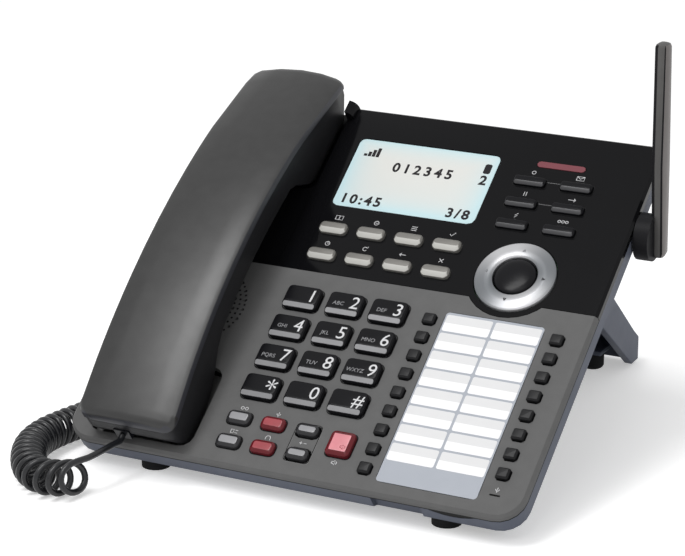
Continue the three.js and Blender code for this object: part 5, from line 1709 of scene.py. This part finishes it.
@dataclass
class Cords:
    """The curly cord from the tray's jack to the handset, as two pieces."""

    panel: Panel
    wire: float = 1.45 * MM
    lift: float = 0.05 * MM
    curl: float = 6.65 * MM
    turns: float = 32.5
    pitch: float = 4.4 * MM
    steps: int = 24
    open_stretch: float = 7.5 * MM
    open_curls: float = 3.0
    open_lean: float = 7.0 * MM
    open_raise: float = 1.8 * MM
    lean_turn_share: float = 0.04
    lead_steps: int = 12
    rounding: int = 3
    heading_step: float = 0.001

    def __post_init__(self) -> None:
        """Sets the route's points from the desk's corner under the middle of the front edge."""
        left, right = front_feet()
        self.desk = (left + right) / 2 - Vector((0.0, FRONT_FOOT_PLACE, 0.0))
        self.straight = 2 * self.wire
        height = (self.curl + self.wire + self.lift) / MM
        route = [(-80.3, -29.4), (-88.2, -32.9), (-97, -33.6), (-106, -28.3), (-114.2, -18), (-119.8, -6),
                 (-121.3, 7), (-118.8, 21), (-114.6, 36), (-112.3, 52), (-111.8, 68), (-111.8, 91)]
        self.axis = CurlAxis([self.place(x, y, height) for x, y in route])

    def place(self, x: float, y: float, z: float) -> Vector:
        """A point over the desk, from millimetres."""
        return self.desk + Vector((x, y, z)) * MM

    def curl_point(self, turns: float) -> Vector:
        """Point of the wire after some turns: the first curls stand open, raised and leaning.

        Args:
            turns: turns from the coil's start.

        Returns:
            The point.
        """
        angle = turns * FULL_TURN
        loose = math.exp(-turns / self.open_curls)
        point, heading = self.axis.at(turns * self.pitch + self.open_stretch * (1 - loose))
        side = Vector((heading.y, -heading.x, 0.0))
        lean = self.open_lean * loose * math.sin(angle + self.lean_turn_share * FULL_TURN)
        rise = self.curl * math.cos(angle) + self.open_raise * loose**2
        return point + Vector((0, 0, rise)) - side * self.curl * math.sin(angle) + heading * lean

    def way(self, turns: float) -> Vector:
        """Heading of the wire after some turns."""
        before, after = (self.curl_point(turns + step) for step in (-self.heading_step, self.heading_step))
        return (after - before).normalized()

    def build(self) -> None:
        """Lays both pieces."""
        count = round(self.turns * self.steps)
        coil = [self.curl_point(index / self.steps) for index in range(count + 1)]
        self.base_cord(coil[self.lead_steps :], self.way(self.turns))
        self.handset_lead(coil[: self.lead_steps + 1], self.way(0.0))
        log.info("cords laid")

    def joined(self, route: list[Vector], end: Vector, way: Vector, coil: list[Vector]) -> list[Vector]:
        """Straight stretch to a coil and the coil itself, as one line.

        Args:
            route: the stretch's points.
            end: where it meets the coil.
            way: from there back along the stretch.
            coil: the coil's points from there.

        Returns:
            The line's points.
        """
        tail = [end + way * (self.straight + GAP), end + way * GAP]
        return [*smooth_route([*route, *tail], STRETCH_STEPS), end, *coil]

    def base_cord(self, coil: list[Vector], way: Vector) -> None:
        """Lays the stretch behind and the coil.

        Args:
            coil: the coil's points after the handset's stretch.
            way: the wire's heading at its end.
        """
        low = self.panel.box("base_plug")[0]
        leave = self.panel.axes @ self.panel.middle("base_plug", low.z - GAP)
        tail = [(-84.6, 98.4, 16.5), (-91.5, 95, 6.4), (-100.5, 91.5, 2)]
        route = [leave, leave - self.panel.normal * self.straight, *(self.place(*point) for point in tail)]
        points = self.joined(route, coil[-1] + way * self.straight, way, coil[::-1])
        cord = wire("curly_cord_wire", [points], self.wire, self.rounding)
        dress(cord, "base", CORD_BLACK)
        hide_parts("curly_cord", "base_lead")
        length = length_of(points)
        log.info("curly cord: %.3f m", length)

    def handset_lead(self, coil: list[Vector], way: Vector) -> None:
        """Lays the first half turn and the stretch to the handset.

        Args:
            coil: the points of the half turn.
            way: the wire's heading at its start.
        """
        low, high = self.panel.box("handset_plug")
        jack = self.panel.axes @ Vector(((low.x + high.x) / 2, low.y - GAP, (low.z + high.z) / 2))
        down = self.panel.axes @ Vector((0, -1, 0))
        lead = [(-76.6, -10.5, 17.6), (-77.8, -18, 17.2)]
        route = [jack, jack + down * self.straight, *(self.place(*point) for point in lead)]
        points = self.joined(route, coil[0] - way * self.straight, -way, coil)[::-1]
        cord = meshed(wire("handset_lead_wire", [points], self.wire, self.rounding))
        add_slots(cord, CORD_BLACK)
        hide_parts("handset_lead")
        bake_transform(cord)
        length_of(points)


@dataclass
class Studio:
    """Camera at the photograph's angle, pale floor and soft lights."""

    azimuth: float = 26.353
    elevation: float = 18.693
    distance: float = 1.146
    target: Vector = field(default_factory=lambda: Vector((-12.96, -38.2, 78.5)) * MM)
    focal_pixels: float = 2607.0
    photo_width: int = 685
    sensor: float = 36.0
    room_light: float = 0.5
    floor_size: float = 30.0
    floor_roughness: float = 0.9
    floor_grey: float = 0.9
    floor_lift: float = 0.4

    def camera(self) -> None:
        """Sets the camera."""
        turn, rise = math.radians(self.azimuth), math.radians(self.elevation)
        back = Vector((math.sin(turn) * math.cos(rise), -math.cos(turn) * math.cos(rise), math.sin(rise)))
        lens = bpy.data.cameras.new("photo_camera")
        lens.lens = self.focal_pixels / self.photo_width * self.sensor
        lens.sensor_width = self.sensor
        camera = placed("photo_camera", lens)
        camera.location = self.target + back * self.distance
        camera.rotation_mode = "QUATERNION"
        camera.rotation_quaternion = (-back).to_track_quat("-Z", "Y")
        bpy.context.scene.camera = camera

    def lamp(self, name: str, place: tuple[float, ...], size: tuple[float, float], power: float) -> None:
        """Adds a soft rectangular lamp that faces the telephone.

        Args:
            name: the lamp's name.
            place: its middle.
            size: its sides in metres.
            power: its power in watts.
        """
        light = bpy.data.lights.new(name, "AREA")
        light.shape = "RECTANGLE"
        light.size, light.size_y = size
        light.energy = power
        lamp = placed(name, light)
        lamp.location = place
        lamp.rotation_euler = (self.target - lamp.location).to_track_quat("-Z", "Y").to_euler()

    def world(self) -> None:
        """Lights the room evenly, white where the camera sees it."""
        world = bpy.data.worlds.new("studio")
        bpy.context.scene.world = world
        graph = Graph(world, "Background")
        camera, gloss, clear = graph.rays("Is Camera Ray", "Is Glossy Ray", "Is Transmission Ray")
        inputs = {"Value": (camera + clear).larger(gloss), "To Min": self.room_light, "To Max": 1.0}
        level = graph.node("ShaderNodeMapRange", inputs).outputs["Result"]
        graph.feed(graph.inputs, {"Color": WHITE, "Strength": level})

    def floor(self) -> None:
        """Lays the pale floor."""
        bpy.ops.mesh.primitive_plane_add(size=self.floor_size, location=(0, 0, 0))
        floor = bpy.context.object
        floor.name = "studio_floor"
        graph = Graph(bpy.data.materials.new("studio_floor"))
        camera, gloss = graph.rays("Is Camera Ray", "Is Glossy Ray")
        looks = {
            "Base Color": (*[self.floor_grey] * 3, 1.0),
            "Roughness": self.floor_roughness,
            "Specular IOR Level": 0.0,
            "Emission Color": WHITE,
            "Emission Strength": camera.larger(gloss) * self.floor_lift,
        }
        graph.feed(graph.inputs, looks)
        floor.data.materials.append(graph.owner)

    def build(self) -> None:
        """Sets the stage."""
        bpy.context.scene.view_settings.view_transform = "Standard"
        self.camera()
        self.world()
        self.floor()
        self.lamp("key", (-0.05, -1.0, 1.25), (0.9, 0.9), 3.6)
        self.lamp("strip", (-0.32, -0.54, 1.34), (0.4, 0.8), 9.0)
        log.info("studio set")


def build_keys(panel: Panel) -> None:
    """Builds the keys of all forms.

    Args:
        panel: the console's panel.
    """
    dial_names = [*named("dial_key", 9), "dial_key_star", "dial_key_0", "dial_key_hash"]
    dial_form = KeyForm(2.6 * MM, 0.7 * MM, 3.0 * MM, 1.0 * MM, paint=Paint.TOP)
    dial = KeyGroup(panel, dial_names, dial_form, (KEY_BLACK, KEY_BLACK))
    dial.build()
    DialFigures(dial).build()
    pill = KeyForm(2.4 * MM, 0.9 * MM, 2.4 * MM, 0.9 * MM)
    bar = KeyForm(1.6 * MM, 0.8 * MM, 1.6 * MM, 0.8 * MM)
    drop = KeyForm(2.3 * MM, 1.4 * MM, 1.6 * MM, 0.7 * MM, 0.3 * MM, Paint.TOP)
    large = KeyForm(2.1 * MM, 1.8 * MM, 2.0 * MM, 0.8 * MM, 0.4 * MM, Paint.TOP)
    stud = KeyForm(0.9 * MM, 0.8 * MM, 0.9 * MM, 0.6 * MM, 0.3 * MM, Paint.TOP)
    # Menu keys: their front slopes take the painted highlight
    KeyGroup(panel, named("menu_key", 8), pill, (SILVER_TOP, SILVER_HIGHLIGHT)).build()
    # Call keys: their front slopes take the painted highlight in grey
    KeyGroup(panel, named("call_key", 6), bar, (KEY_BLACK, CALL_HIGHLIGHT)).build()
    # Small and speaker keys: their lighter tops are partly the paler insert under the clear cap, partly a
    # painted highlight
    KeyGroup(panel, ["intercom_key", "intercom_all_key"], drop, (KEY_SMOKE, KEY_GREY)).build()
    KeyGroup(panel, ["mute_key", "headset_key"], drop, (KEY_WINE, KEY_RED)).build()
    KeyRow(panel, "volume_rocker", drop, (KEY_SMOKE, KEY_GREY)).build()
    KeyGroup(panel, ["speaker_key"], large, (KEY_WINE, KEY_ROSE)).build()
    for node in ("line_keys_left", "line_keys_right"):
        KeyRow(panel, node, stud, (KEY_RUBBER, KEY_RUBBER)).build()


def main() -> None:
    """Builds the stage and the telephone."""
    logging.basicConfig(level=logging.INFO, format="%(message)s")
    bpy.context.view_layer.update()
    Studio().build()
    panel = Panel()
    Cords(panel).build()
    Console(panel).build()
    build_keys(panel)
    NavigationPad(panel).build()
    Display(panel).build()
    LabelCard(panel).build()
    Signs(panel).build()
    Antenna().build()
    Handset(panel).build()


if __name__ == "__main__":
    main()
